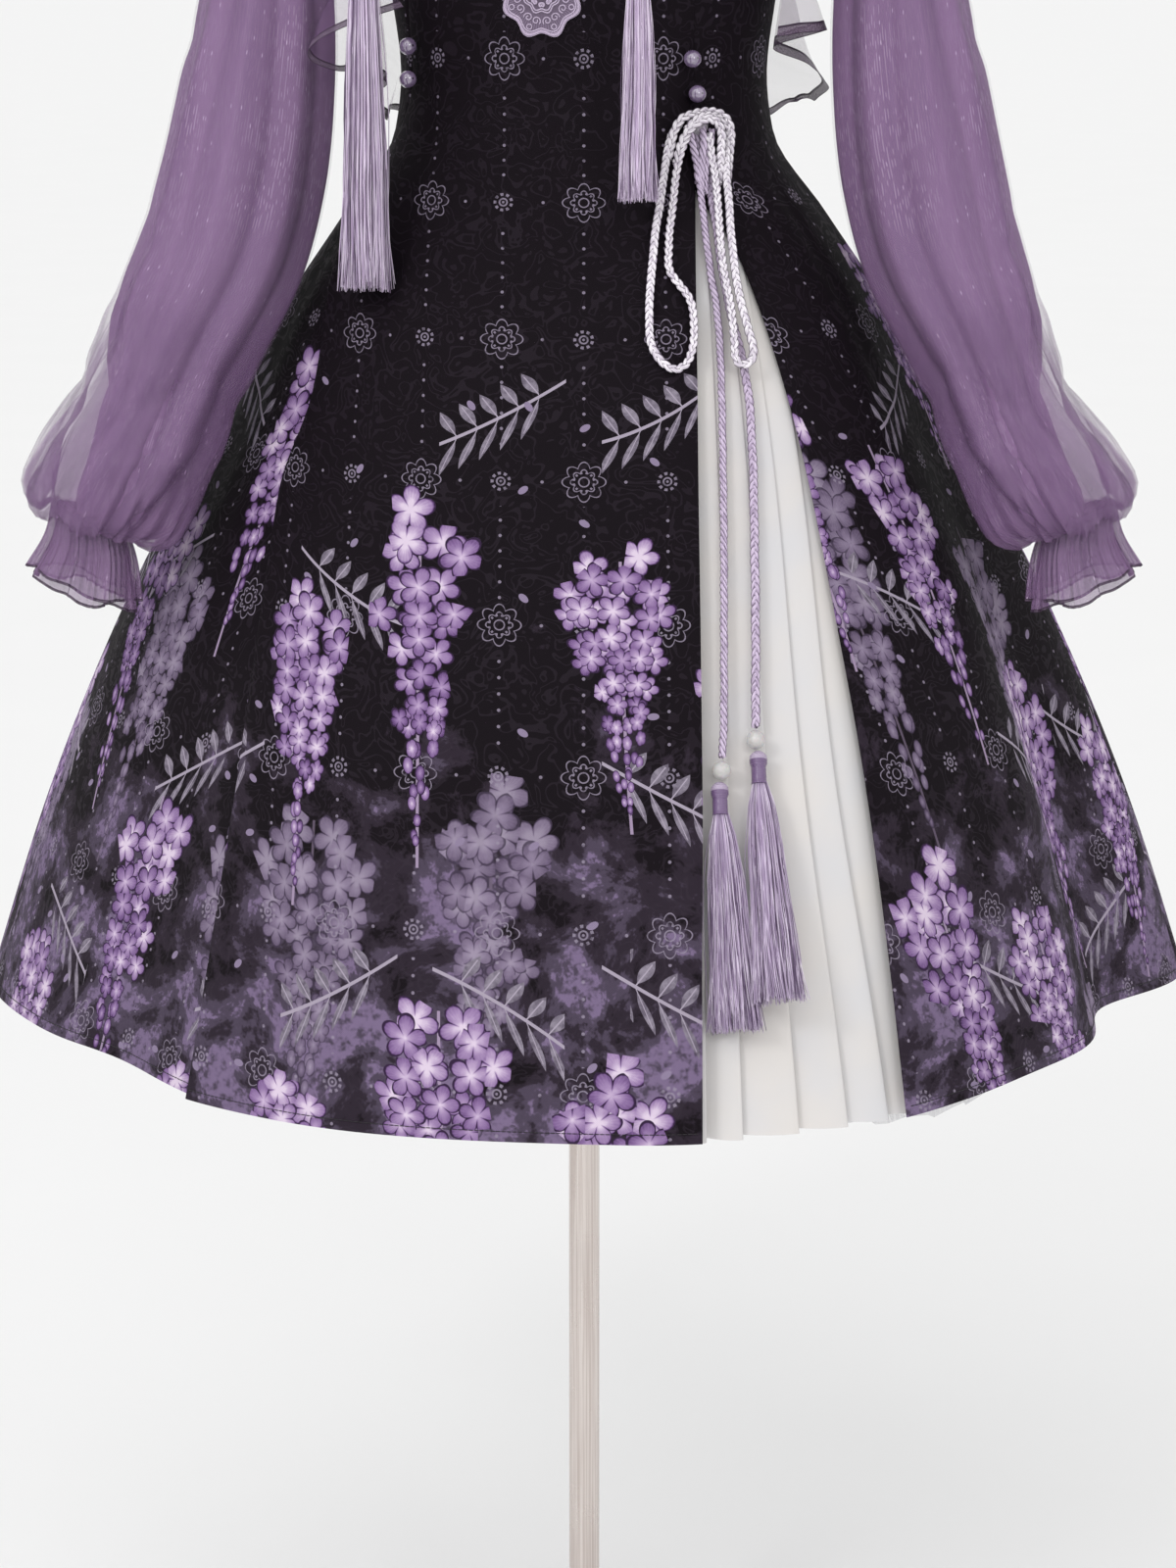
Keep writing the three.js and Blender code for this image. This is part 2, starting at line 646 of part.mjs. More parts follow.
// The net shows below the hem beside the slit, and is a little shorter elsewhere.
function petticoat() {
  return wall(
    sheet(
      steps(1, 0, 4).map((share) =>
        steps(-180, 180, PETTICOAT.columns)
          .slice(0, -1)
          .map((angle) => {
            const longer = 12 * Math.exp(-(((angle - 40) / 13) ** 2));
            const z = THREE.MathUtils.lerp(PETTICOAT.top, HEM + 6 - longer, share);
            const lift = THREE.MathUtils.lerp(PETTICOAT.topLift, PETTICOAT.hemLift, share);
            return onCloth(angle, z + hemRise(angle, z), lift);
          }),
      ),
      true,
    ),
    SHEER,
  );
}

// An appliqued lace disc with a lobed edge, lying on the front panel.
function medallion() {
  const { x, z, radius, tall, lobes, lobe } = MEDALLION;
  const rings = [1, 0.55, 0];
  return wall(
    sheet(
      rings.map((share) =>
        steps(0, 360, 32)
          .slice(0, -1)
          .map((turn) => {
            const a = turn * RADIANS;
            const r = radius * share * (1 - lobe + lobe * Math.cos(lobes * a));
            return onFront(x + r * Math.cos(a), z + tall * r * Math.sin(a), SHEER + GAP);
          }),
      ),
      true,
    ),
    SHEER,
  );
}

// ---------------------------------------------------------------- bolero
const boleroEdge = (z) => angleAt(column(BOLERO_EDGE, "x", z), z);
const boleroLift = () => BOLERO_LIFT;

function boleroFront() {
  return zipped([strip(rowsBetween(BOLERO_HEM, BOLERO_TOP), boleroEdge, shoulderSeam, boleroLift)]);
}

function boleroBack() {
  const heights = rowsBetween(BOLERO_HEM, BOLERO_TOP);
  const neck = (z) => 180 - necklineAngle(z, NECK.back);
  const left = strip(heights, sideSeamBack, neck, boleroLift);
  const right = strip(heights, (z) => -neck(z), (z) => -sideSeamBack(z), boleroLift);
  return wall(zipped([right, left]), SHEER);
}

function flounce() {
  const count = 2 * (FLOUNCE.length - 1);
  const table = FLOUNCE.map((row, i) => ({ ...row, at: 2 * i }));
  const drops = [1, 0.5, 0];
  return wall(
    sheet(
      drops.map((drop) =>
        steps(0, count, count)
          .map((at) => {
            const value = (key) => column(table, key, at, "at");
            const angle = THREE.MathUtils.lerp(value("seam"), value("hem"), drop);
            const z = THREE.MathUtils.lerp(BOLERO_HEM - GAP, value("z"), drop);
            const reach = THREE.MathUtils.lerp(BOLERO_LIFT, value("reach"), drop ** 1.3);
            return onCloth(angle, z, reach).clone();
          })
          .reverse(),
      ),
    ),
    SHEER,
  );
}

// A ring of points round an axis that leans out from straight down.
// It starts at the body's side and goes by the back.
function ring({ x, y, z, across, deep, lean }, columns = 12) {
  const axis = new THREE.Vector3(Math.sin(lean * RADIANS), 0, -Math.cos(lean * RADIANS));
  const back = new THREE.Vector3(0, 1, 0);
  const inward = back.clone().cross(axis);
  return steps(0, 360, columns)
    .slice(0, -1)
    .map((turn) =>
      new THREE.Vector3(x, y, WAIST_Z + z)
        .addScaledVector(inward, across * Math.cos(turn * RADIANS))
        .addScaledVector(back, deep * Math.sin(turn * RADIANS)),
    );
}

function sleeve() {
  const { middle } = ARMHOLE;
  const half = ARMHOLE.half - 1.4;
  const reach = ARMHOLE.reach - 0.8;
  const head = steps(0, 360, 12)
    .slice(0, -1)
    .map((turn) =>
      onCloth(
        90 + reach * Math.sin(turn * RADIANS),
        middle - half * Math.cos(turn * RADIANS),
        BOLERO_LIFT,
      ).clone(),
    );
  return sheet([head, ...SLEEVE.map((row) => ring(row))], true);
}

function sleeveLining() {
  const { rings, inset, slack, wrist } = LINING;
  const rows = rings.map((i) => {
    const row = SLEEVE[i];
    const low = smoothstep(-110, -243, row.z);
    const less = inset + slack * low;
    return { ...row, x: row.x - 0.8 * slack * low, across: row.across - less, deep: row.deep - less };
  });
  const end = { ...SLEEVE.at(-1), z: SLEEVE.at(-1).z + 3, across: wrist, deep: wrist };
  return sheet([...rows, end].map((row) => ring(row)), true);
}

function cuff() {
  const columns = 4 * CUFF_FLUTES;
  return sheet(
    CUFF.map((row) =>
      ring({ ...row, across: 1, deep: 1 }, columns).map((p, i) => {
        const middle = new THREE.Vector3(row.x, row.y, WAIST_Z + row.z);
        const radius = row.radius + row.wave * Math.cos((2 * Math.PI * i * CUFF_FLUTES) / columns);
        return middle.addScaledVector(p.sub(middle), radius);
      }),
    ),
    true,
  );
}

// ---------------------------------------------------------------- cords, beads and tassels
function circle(radius, sides) {
  const shape = new THREE.Shape();
  for (let i = 0; i < sides; i += 1) {
    const a = (2 * Math.PI * i) / sides;
    if (i === 0) shape.moveTo(radius, 0);
    else shape.lineTo(radius * Math.cos(a), radius * Math.sin(a));
  }
  return shape;
}

function tube(points, radius, step) {
  const path = new THREE.CatmullRomCurve3(points, false, "centripetal");
  const count = Math.max(3, Math.round(path.getLength() / step));
  return new THREE.ExtrudeGeometry(circle(radius, 8), { steps: count, extrudePath: path });
}

function ellipsoid(place, wide, deep, high) {
  const geometry = new THREE.SphereGeometry(1, 10, 6);
  geometry.rotateX(Math.PI / 2);
  geometry.scale(wide, deep, high);
  geometry.translate(...place.toArray());
  return geometry;
}

// A turned piece from a to b. The profile's rows hold the share of the way and the radius there.
function turned(a, b, profile, flatten = 1) {
  const length = a.distanceTo(b);
  const outline = [
    new THREE.Vector2(0, 0),
    ...profile.map(([share, radius]) => new THREE.Vector2(radius, share * length)),
    new THREE.Vector2(0, length),
  ];
  const geometry = new THREE.LatheGeometry(outline, 12);
  geometry.scale(1, 1, flatten);
  const way = b.clone().sub(a).normalize();
  const turn = new THREE.Quaternion().setFromUnitVectors(new THREE.Vector3(0, 1, 0), way);
  geometry.applyQuaternion(turn);
  geometry.translate(...a.toArray());
  return geometry;
}

const headProfile = [[0, 2.2], [0.16, 0.9 * HEAD_R], [0.4, HEAD_R], [1, 0.86 * HEAD_R]];

// ---------------------------------------------------------------- the set
const set = new THREE.Group();

function add(name, geometry, material) {
  const mesh = new THREE.Mesh(geometry, material);
  mesh.name = name;
  set.add(mesh);
}

function addPair(name, sheetOfLeft, thickness, material) {
  add(`${name}_left`, wall(sheetOfLeft, thickness), material);
  add(`${name}_right`, wall(mirrored(sheetOfLeft), thickness), material);
}

// A round piece about the pole's line, from radii and heights.
function lathe(profile) {
  const outline = profile.map(([r, z]) => new THREE.Vector2(r, z));
  return new THREE.LatheGeometry(outline, 32).rotateX(Math.PI / 2);
}

// A cone or cylinder about the pole's line.
function frustum(bottomR, topR, bottom, top) {
  return lathe([
    [0, bottom],
    [bottomR, bottom],
    [topR, top],
    [0, top],
  ]);
}

function addStand() {
  const { radius, edge, rise } = BASE;
  const collarTop = rise + COLLAR.height;
  const flangeTop = WAIST_Z + FORM.at(-1).z - GAP;
  const flangeBottom = flangeTop - FLANGE.height;
  const capBottom = WAIST_Z + FORM[0].z + GAP;
  const plate = [
    [0, 0],
    [radius, 0],
    [radius, edge],
    [0.3 * radius, rise],
    [0, rise],
  ];
  add("base_plate", lathe(plate), STEEL);
  add("base_collar", frustum(COLLAR.bottom, COLLAR.top, rise + GAP, collarTop), STEEL);
  add("pole", frustum(POLE_R, POLE_R, collarTop + GAP, flangeBottom - GAP), STEEL);
  add("form_flange", frustum(FLANGE.bottom, FLANGE.top, flangeBottom, flangeTop), STEEL);
  const rings = FORM.map(({ z, side, front, back }) =>
    steps(-180, 180, 24)
      .slice(0, -1)
      .map((angle) => {
        const a = angle * RADIANS;
        const depth = Math.cos(a) > 0 ? front : back;
        return new THREE.Vector3(side * Math.sin(a), -depth * Math.cos(a), WAIST_Z + z);
      }),
  );
  add("form_torso", loft(rings.reverse()), FORM_COVER);
  add("neck_cap", lathe(NECK_CAP.map(({ r, up }) => [r, capBottom + up])), CAP_WOOD);
}

function addDress() {
  add("front_panel", frontPanel(), BLACK_CLOTH);
  add("side_panel_right", sidePanelRight(), BLACK_CLOTH);
  add("side_panel_left", sidePanelLeft(), BLACK_CLOTH);
  const { left, right } = backPanels();
  add("back_panel_left", left, BLACK_CLOTH);
  add("back_panel_right", right, BLACK_CLOTH);
  add("pleated_insert", pleatedInsert(), WHITE_CLOTH);
  add("petticoat", petticoat(), WHITE_NET);
  add("medallion", medallion(), LACE);
  BUTTONS.forEach(({ x, z }, i) => {
    add(`bead_button_${i + 1}`, ellipsoid(onFront(x, z, BEAD_R + 1.6), BEAD_R, BEAD_R, BEAD_R), BEAD);
  });
}

function addBolero() {
  add("bolero_back", boleroBack(), SHEER_CLOTH);
  addPair("bolero_front", boleroFront(), SHEER, SHEER_CLOTH);
  add("bolero_flounce", flounce(), SHEER_CLOTH);
  addPair("sleeve", sleeve(), SHEER, SHEER_CLOTH);
  addPair("sleeve_lining", sleeveLining(), SHEER, SHEER_CLOTH);
  addPair("cuff", cuff(), SHEER, SHEER_CLOTH);
}

function addBow() {
  const { wide, deep, high } = KNOT;
  add("bow_knot", ellipsoid(onFront(KNOT.x, KNOT.z, KNOT.lift), wide, deep, high), CORD_SILK);
  for (const [name, route] of Object.entries(CORDS)) {
    add(name, tube(route.map((p) => onFront(p.x, p.z, p.lift)), CORD_R, 6 * CORD_R), CORD_SILK);
  }
  const { neck, tip, flat: flatness, lift } = TAIL_FRINGE;
  for (const [side, end] of Object.entries(TAIL_ENDS)) {
    const bead = onFront(end.beadX, end.bead, 0.5);
    const head = [onFront(end.headX, end.head, 0.5), onFront(end.headX, end.neck, 1.5)];
    add(`tail_bead_${side}`, ellipsoid(bead, TAIL_BEAD_R, TAIL_BEAD_R, TAIL_BEAD_R), CLEAR_BEAD);
    add(`tail_head_${side}`, turned(...head, headProfile), LAVENDER_SILK);
    const from = onFront(end.headX, end.neck - GAP, lift);
    const to = onFront(end.tipX, end.tip, end.out);
    const fringe = [[0, neck], [0.3, 0.62 * tip], [1, tip]];
    add(`tail_fringe_${side}`, turned(from, to, fringe, flatness), LAVENDER_SILK);
  }
}

function addChestTassels() {
  for (const [side, t] of Object.entries(CHEST_TASSELS)) {
    const [bx, bz] = t.button;
    const button = onFront(bx, bz, t.under + BEAD_R + 1);
    const end = new THREE.Vector3(t.x, t.y, WAIST_Z + CHEST_CORD_END);
    const start = button.clone().add(new THREE.Vector3(0, -0.5, -BEAD_R - CHEST_CORD_R - 0.2));
    const middle = start.clone().lerp(end, 0.5).add(new THREE.Vector3(0, 0, -1));
    add(`chest_button_${side}`, ellipsoid(button, BEAD_R, BEAD_R, BEAD_R), BEAD);
    add(`chest_cord_${side}`, tube([start, middle, end], CHEST_CORD_R, 3 * CHEST_CORD_R), CORD_SILK);
    const head = end.clone().add(new THREE.Vector3(0, 0, -CHEST_CORD_R));
    const neck = new THREE.Vector3(t.x, t.y, WAIST_Z + t.neck);
    add(`chest_head_${side}`, turned(head, neck, headProfile), LAVENDER_SILK);
    const from = neck.clone().add(new THREE.Vector3(0, 0, -2 * GAP));
    const to = new THREE.Vector3(t.x, t.tipY, WAIST_Z + t.tip);
    const fringe = [[0, 5], [0.2, 0.55 * t.radius], [1, t.radius]];
    add(`chest_fringe_${side}`, turned(from, to, fringe, 0.62), LAVENDER_SILK);
  }
}

addStand();
addDress();
addBolero();
addBow();
addChestTassels();

export default set;
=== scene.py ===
"""A dress set on a dress form: the looks of every piece, built round the fixed frame.

The set is a sleeveless printed dress with a slit over a pleated insert, a net petticoat, pearl
buttons, a lace medallion and a braided cord tied in a bow, under a sheer bolero with full sleeves.

Shapes are worked out in millimetres. Heights in the tables are measured from the waist, angles go
round the body from the front centre towards the wearer's left (+X), and the set faces -Y.
Every cloth piece has a UV map "Cloth" in millimetres of its own flat cut.
"""

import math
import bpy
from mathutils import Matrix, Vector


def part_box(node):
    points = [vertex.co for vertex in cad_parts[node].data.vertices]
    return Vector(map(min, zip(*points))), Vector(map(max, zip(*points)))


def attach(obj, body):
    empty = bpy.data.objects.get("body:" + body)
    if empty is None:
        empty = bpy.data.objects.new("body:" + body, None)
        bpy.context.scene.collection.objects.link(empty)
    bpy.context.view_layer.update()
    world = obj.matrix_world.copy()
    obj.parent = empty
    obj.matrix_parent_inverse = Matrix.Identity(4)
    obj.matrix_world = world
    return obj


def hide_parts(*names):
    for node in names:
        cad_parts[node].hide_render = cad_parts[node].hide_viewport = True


bl_info = {
    "name": "Dress Set on a Form",
    "version": (1, 0, 0),
    "blender": (4, 5, 0),
    "location": "3D View > Sidebar > Dress Set",
    "description": "Builds a printed dress with a sheer bolero, a tied cord and tassels on a dress form",
    "category": "Add Mesh",
}

from functools import partialmethod

import bpy
import numpy as np
from bpy.props import FloatProperty, FloatVectorProperty, IntProperty, PointerProperty

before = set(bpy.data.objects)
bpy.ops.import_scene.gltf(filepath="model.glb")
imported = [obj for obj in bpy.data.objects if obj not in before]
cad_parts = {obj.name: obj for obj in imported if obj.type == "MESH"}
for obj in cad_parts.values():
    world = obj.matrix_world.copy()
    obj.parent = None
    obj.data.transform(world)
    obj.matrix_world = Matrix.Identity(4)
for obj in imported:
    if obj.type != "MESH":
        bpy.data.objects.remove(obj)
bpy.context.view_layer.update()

MM = 0.001
NECK_TOP = 452  # top of the form's neck above the waist
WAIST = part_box("form_torso")[1].z / MM - NECK_TOP
GAP = 0.4

# Walls of the cloths.
DRESS_WALL = 0.8
INSERT_WALL = 0.3
NET_WALL = 0.25
SHEER_WALL = 0.3
LACE_WALL = 0.9

# How finely the cloths and cords are drawn: columns round a piece, and the steps along it.
PANEL_STEP = 9
INSERT_STEP = 8
TORSO_COLUMNS, TORSO_ROWS = 65, 64
NET_COLUMNS, NET_ROWS = 225, 28
FLOUNCE_LINES, FLOUNCE_ROWS = 361, 24
SLEEVE_COLUMNS, SLEEVE_STEP, LINING_STEP = 161, 5.9, 6.8
CUFF_COLUMNS, CUFF_STEP = 241, 2.4
CORD_STEP, KNOT_STEP = 1.5, 1.1
STRAND_SIDES, THREAD_SIDES, STITCH_SIDES, LACE_SIDES = 8, 3, 4, 5
THREAD_STEPS = 11


# -------- sizes
def table(names, *rows):
    """A short table as named columns, in the order of its first one."""
    return dict(zip(names.split(), np.array(sorted(rows), float).T))


HEM = -584
NECK = {"front": 292, "back": 362, "top": 380, "half": 76}
NECK_END = NECK["top"] - 1
SHOULDER = 372
ARMHOLE = {"middle": 292, "half": 56, "reach": 28}
SLIT_TOP = -61
FLAP_LIFT = 3.8
UNDERLAP = 26
BOLERO_LIFT = 5
BOLERO_HEM = 100
BOLERO_TOP = 374
CORD_R = 2.4
BEAD_R = 5.4
TAIL_BEAD_R = 5.6

# Half widths and depths of the dress, worn.
OUTLINE = table(
    "z side front back",
    (385, 66, 56, 60), (372, 92, 61, 68), (355, 124, 68, 78), (335, 152, 80, 92),
    (290, 156, 100, 104), (230, 149, 122, 106), (170, 142, 134, 102), (110, 131, 112, 96),
    (45, 119, 97, 90), (0, 114, 92, 88), (-35, 118, 98, 98), (-85, 150, 124, 128),
    (-140, 187, 158, 165), (-210, 224, 198, 205), (-310, 281, 259, 264),
    (-450, 341, 326, 330), (-590, 387, 374, 374),
)
# The dress form inside it.
FORM = table(
    "z side front back",
    (452, 47, 45, 49), (410, 49, 45, 50), (392, 53, 46, 50), (372, 78, 50, 56),
    (355, 108, 58, 67), (335, 138, 69, 80), (290, 148, 92, 96), (230, 142, 115, 99),
    (170, 135, 126, 95), (110, 124, 105, 89), (45, 112, 90, 83), (0, 107, 85, 81),
    (-35, 110, 90, 90), (-85, 130, 102, 107), (-140, 146, 110, 119), (-200, 151, 112, 124),
    (-240, 145, 106, 118),
)
# Flutes of the skirt at the hem, out (+) or in (-).
FLUTES = table(
    "angle width depth",
    (-33, 9, -6), (9, 9, 8), (50, 16, -18), (72, 11, -40), (96, 11, 12), (116, 11, -15),
    (136, 11, 8), (155, 10, -14), (174, 12, 8), (-164, 11, -13), (-142, 12, 8),
    (-119, 10, -14), (-98, 11, 5), (-68, 12, -11), (-50, 12, -24),
)
# Soft creases of the dress: each leans by so many degrees in 100 mm down, and fades in and out.
CREASES = table(
    "angle lean width top bottom depth",
    (-74, 1.5, 4, -20, -330, -1.6), (-58, 0.6, 3, -60, -420, 1.4), (-41, -0.4, 3.2, -30, -300, -1.2),
    (-22, -0.8, 4, -120, -560, 1.5), (-12, -0.3, 3, 30, -260, -0.9), (3, 0.2, 3.4, -150, -590, -1.6),
    (14, 0.5, 4, -20, -250, 0.8), (60, 0.8, 3, -30, -300, -1.5), (84, 1.4, 4, -20, -380, 1.8),
    (104, 0.4, 4, -60, -520, -1.8), (124, -0.6, 3.5, -20, -400, 1.4), (147, -0.3, 4, -90, -560, -1.7),
    (166, 0.4, 3.5, -30, -330, 1.3), (-172, 0.2, 4, -60, -480, -1.5), (-153, 0.5, 3.5, -20, -350, 1.3),
    (-131, 0.5, 4, -80, -540, -1.8), (-108, -0.5, 3.6, -30, -420, 1.5), (-88, 1.2, 4, -60, -590, -1.4),
    (-62, -9, 6, 150, 40, -1.1), (48, 10, 5, 130, 30, -1.0), (150, -8, 6, 120, 20, -1.0),
    (-146, 9, 6, 140, 30, 0.9),
)
# How far the hem rises at each angle. The front flap keeps the level hem.
HEMLINE = table(
    "angle rise",
    (-180, 0), (-110, 0), (-90, 7), (-76, 8), (-58, 8), (-42, 4), (-30, 0), (25, 0), (36, 3),
    (50, 6), (76, 8), (96, 5), (120, 0), (180, 0),
)
# Edges of the dress panels on the front, as distances from the centre plane.
SEAMS = table(
    "z right left slit",
    (385, 92, 92, 92), (372, 92, 92, 92), (300, 95, 85, 85), (170, 99, 74, 74), (45, 108, 67, 67),
    (0, 106, 67, 67), (SLIT_TOP, 124, 66, 66), (-97, 147, 66, 90), (-190, 166, 66, 124),
    (-243, 187, 66, 137), (-300, 196, 66, 148), (-400, 209, 66, 166), (-500, 225, 65, 179),
    (HEM, 239, 65, 188),
)
BOLERO_EDGE = table("z x", (376, 81), (350, 81), (300, 88), (230, 104), (170, 120), (BOLERO_HEM, 127))
# The flounce from the right front edge round the back to the left one.
FLOUNCE = table(
    "at seam hem reach z",
    (0, -80, -48, 30, 46), (2, -83, -54, 62, 40), (4, -86, -60, 82, 26), (6, -89, -58, 68, 8),
    (8, -92, -70, 34, 2), (10, -97, -80, 10, -8), (12, -103, -97, 30, -22), (14, -111, -111, 18, -34),
    (16, -121, -127, 42, -42), (18, -132, -138, 20, -45), (20, -144, -149, 44, -46),
    (22, -156, -160, 20, -46), (24, -168, -170, 44, -46), (26, -180, -181, 20, -46),
    (28, -192, -192, 44, -46), (30, -203, -203, 20, -46), (32, -213, -213, 42, -50),
    (34, -222, -222, 24, -52), (36, -230, -230, 42, -50), (38, -238, -240, 60, -33),
    (40, -247, -254, 47, -13), (42, -254, -261, 30, 6), (44, -261, -265, 5, 16),
    (46, -267, -276, 36, 32), (48, -273, -282, 21, 28), (50, -280, -288, 9, 24),
)
# Rings of the left sleeve from the armhole to the turned-in wrist.
SLEEVE = table(
    "ring x y z across deep lean",
    (0, 172, 0, 292, 53, 46, 74), (1, 192, -3, 265, 49, 50, 46), (2, 199, -8, 208, 41, 50, 16),
    (3, 195, -17, 130, 40, 48, 3), (4, 194, -30, 45, 42, 47, 4), (5, 199, -42, 0, 47, 49, 8),
    (6, 208, -56, -60, 50, 51, 12), (7, 219, -70, -105, 49, 52, 18),
    (8, 240, -90, -155, 44, 52, 25), (9, 264, -106, -208, 44, 51, 26),
    (10, 284, -114, -242, 48, 50, 24), (11, 295, -116, -260, 46, 46, 21),
    (12, 299, -116, -268, 35, 36, 19), (13, 301, -116, -259, 24, 24, 17),
)
# The two sleeves do not hang quite alike: how much further out each one's outer side lies.
SPREAD = table(
    "z right left",
    (-280, 0, 0), (-262, 1, -4), (-242, 4, -4), (-208, 6.5, -6), (-155, 6, -3), (-105, 3, -1), (-40, 0, 0),
)
# Lengthwise folds of the sleeve: where round it, how wide, and how deep at the shoulder and the wrist.
SLEEVE_FOLDS = table(
    "turn width shoulder wrist",
    (12, 9, -1.2, -4), (34, 7, 0.8, 3), (58, 9, -1.5, -3.5), (83, 8, 1, 3.5), (108, 10, -1.8, -4),
    (131, 7, 0.9, 2.6), (152, 8, -1.6, -5), (171, 7, 1.2, 4), (196, 9, -1.4, -4.5),
    (219, 7, 1.3, 3.2), (238, 8, -2, -3.6), (262, 10, 1.4, 4.2), (287, 7, -1.8, -4.4),
    (306, 8, 1.2, 2.8), (329, 9, -1.9, -4.2), (350, 7, 1, 3.2),
)
# The lining: how far inside the sleeve, and how much narrower at each height.
LINING = {"inset": 1.6, "wrist": 19}
LINING_SLACK = table(
    "z slack",
    (-80, 0), (-140, 0.3), (-155, 0.8), (-182, 4), (-210, 10), (-236, 16), (-256, 18), (-268, 13),
)
CUFF = table(
    "row x y z radius wave lean",
    (0, 301, -116, -260, 23, 0.5, 17), (1, 300, -116, -280, 27, 2.5, 18),
    (2, 305, -116, -304, 34, 4.5, 20),
)
PLEATS = {"shorter": 4, "depth": 5, "top": -50, "top_lift": -3.2, "hem_lift": -9}
PETTICOAT = {"top": -112, "top_lift": -9, "hem_lift": -27}
MEDALLION = {"x": -25, "z": 50, "radius": 24, "tall": 1.12, "lobes": 8, "lobe": 0.07}
BUTTONS = ((-101.8, 18.3), (-101.9, -2.7), (62.3, 11.2), (65.2, -11.1))
KNOT = {"x": 64.5, "z": -26, "lift": 10}
# Routes of the tied cord on the skirt's front: distance from the centre plane, height, lift.
CORDS = {
    "bow_loop_right": (
        (54, -30, 9.5), (50, -36, 9), (48, -45, 8.5), (46.5, -59, 8), (43.5, -77, 7.6),
        (40.4, -99, 7.4), (38.8, -121, 7.4), (37.6, -142, 7.4), (40.3, -160.5, 7.4),
        (45.2, -167.5, 7.4), (51.9, -171, 7.4), (57.5, -168.5, 7.8), (61, -162, 8),
        (62.8, -146, 8), (59.4, -130, 7.6), (54.4, -123.5, 7.4), (49.5, -117, 7.4),
        (48.6, -101, 7.6), (50.3, -83, 8.5), (52, -66, 11), (53.5, -53, 12), (55.5, -44, 12.5),
        (57.5, -37.5, 13),
    ),
    "bow_loop_left": (
        (75.5, -28.5, 11), (79, -36.5, 12), (79.5, -47, 12.5), (80.6, -65, 12.5), (82.5, -84, 12),
        (84.5, -105, 11.5), (87, -124, 11.5), (90.4, -140, 11), (94.4, -152, 10.2), (97, -161, 9.7),
        (96.9, -165.7, 9.5), (94.9, -169, 9.4), (91.6, -170.3, 9.3), (88.3, -168.9, 9.2),
        (86.6, -165.2, 9.2), (86.2, -158, 9.1), (85.2, -142, 8.8), (82, -124, 8.6),
        (79, -105, 9), (76.5, -80, 10.6), (73.5, -61, 12), (70, -45, 13.5), (68.5, -37.5, 14),
    ),
    "bow_tail_right": (
        (64.8, -35.5, 7.8), (65.5, -53, 7.4), (68.2, -74, 6.8), (72, -95, 3.5), (75.5, -115, 1.2),
        (78.8, -133, 0.6), (80.8, -153, 0), (81.6, -181, 0), (81.8, -225, 0), (81.6, -258, 0),
        (81.1, -289, 0), (80.6, -315, 0), (80.2, -341, 0), (79.6, -362, 0), (78.6, -379, 0),
    ),
    "bow_tail_left": (
        (71, -40, 7.8), (72, -53, 6), (73.8, -66, 5), (77.6, -87, 4.2), (82.6, -115, 1.8),
        (88.9, -144, 1), (94.5, -166, 0.8), (97.4, -181, 0.4), (99.3, -203, 0), (100, -226, 0),
        (100, -258, 0), (99.9, -290, 0), (99.5, -320, 0), (99, -344, 0), (98.6, -364, 0),
    ),
}
TAIL_ENDS = {
    "right": {"bead": -386, "bead_x": 77.8, "head": -392.5, "head_x": 76.5, "neck": -410,
              "tip": -527, "tip_x": 84.4, "out": 1.5},
    "left": {"bead": -371, "bead_x": 98.4, "head": -377.5, "head_x": 99.6, "neck": -395,
             "tip": -514, "tip_x": 103, "out": 17.5},
}
CHEST_TASSELS = {
    "right": {"button": (-121, 118), "under": 8, "x": -131, "y": -114, "neck": 76, "tip": -127,
              "tip_y": -126, "radius": 15.5},
    "left": {"button": (32, 152), "under": 0, "x": 32, "y": -148, "neck": 74, "tip": -72,
             "tip_y": -148, "radius": 11.5},
}
CHEST_CORD_END = 92
CHEST_CORD_R = 1.5
HEAD_R = 5.2


# -------- the worn form
def column(rows, key, at):
    """A table's column at any place: a cubic between rows whose slopes never overshoot."""
    x, y = rows[next(iter(rows))], rows[key]
    run = np.diff(x)
    rise = np.diff(y) / run
    both = rise[:-1] * rise[1:]
    middle = np.where(both > 0, 2 * both / np.where(both > 0, rise[:-1] + rise[1:], 1), 0)
    slope = np.concatenate([rise[:1], middle, rise[-1:]])
    at = np.clip(at, x[0], x[-1])
    i = np.clip(np.searchsorted(x, at, side="right") - 1, 0, len(x) - 2)
    t = (at - x[i]) / run[i]
    low = (2 * t**3 - 3 * t**2 + 1) * y[i] + (t**3 - 2 * t**2 + t) * run[i] * slope[i]
    return low + (3 * t**2 - 2 * t**3) * y[i + 1] + (t**3 - t**2) * run[i] * slope[i + 1]


def smoothstep(start, end, value):
    """0 before start, 1 after end, and 3t^2 - 2t^3 between."""
    t = np.clip((value - start) / (end - start), 0, 1)
    return t * t * (3 - 2 * t)


def round_to(angle, centre):
    """Degrees from each centre to each angle by the shorter way round, -180 to 180."""
    return (angle[..., None] - centre + 180) % 360 - 180


def bumps(rows, angle, centre, size):
    """The sum of bell curves round a piece: size * exp(-(degrees away / width)^2)."""
    return (size * np.exp(-((round_to(angle, centre) / rows["width"]) ** 2))).sum(-1)


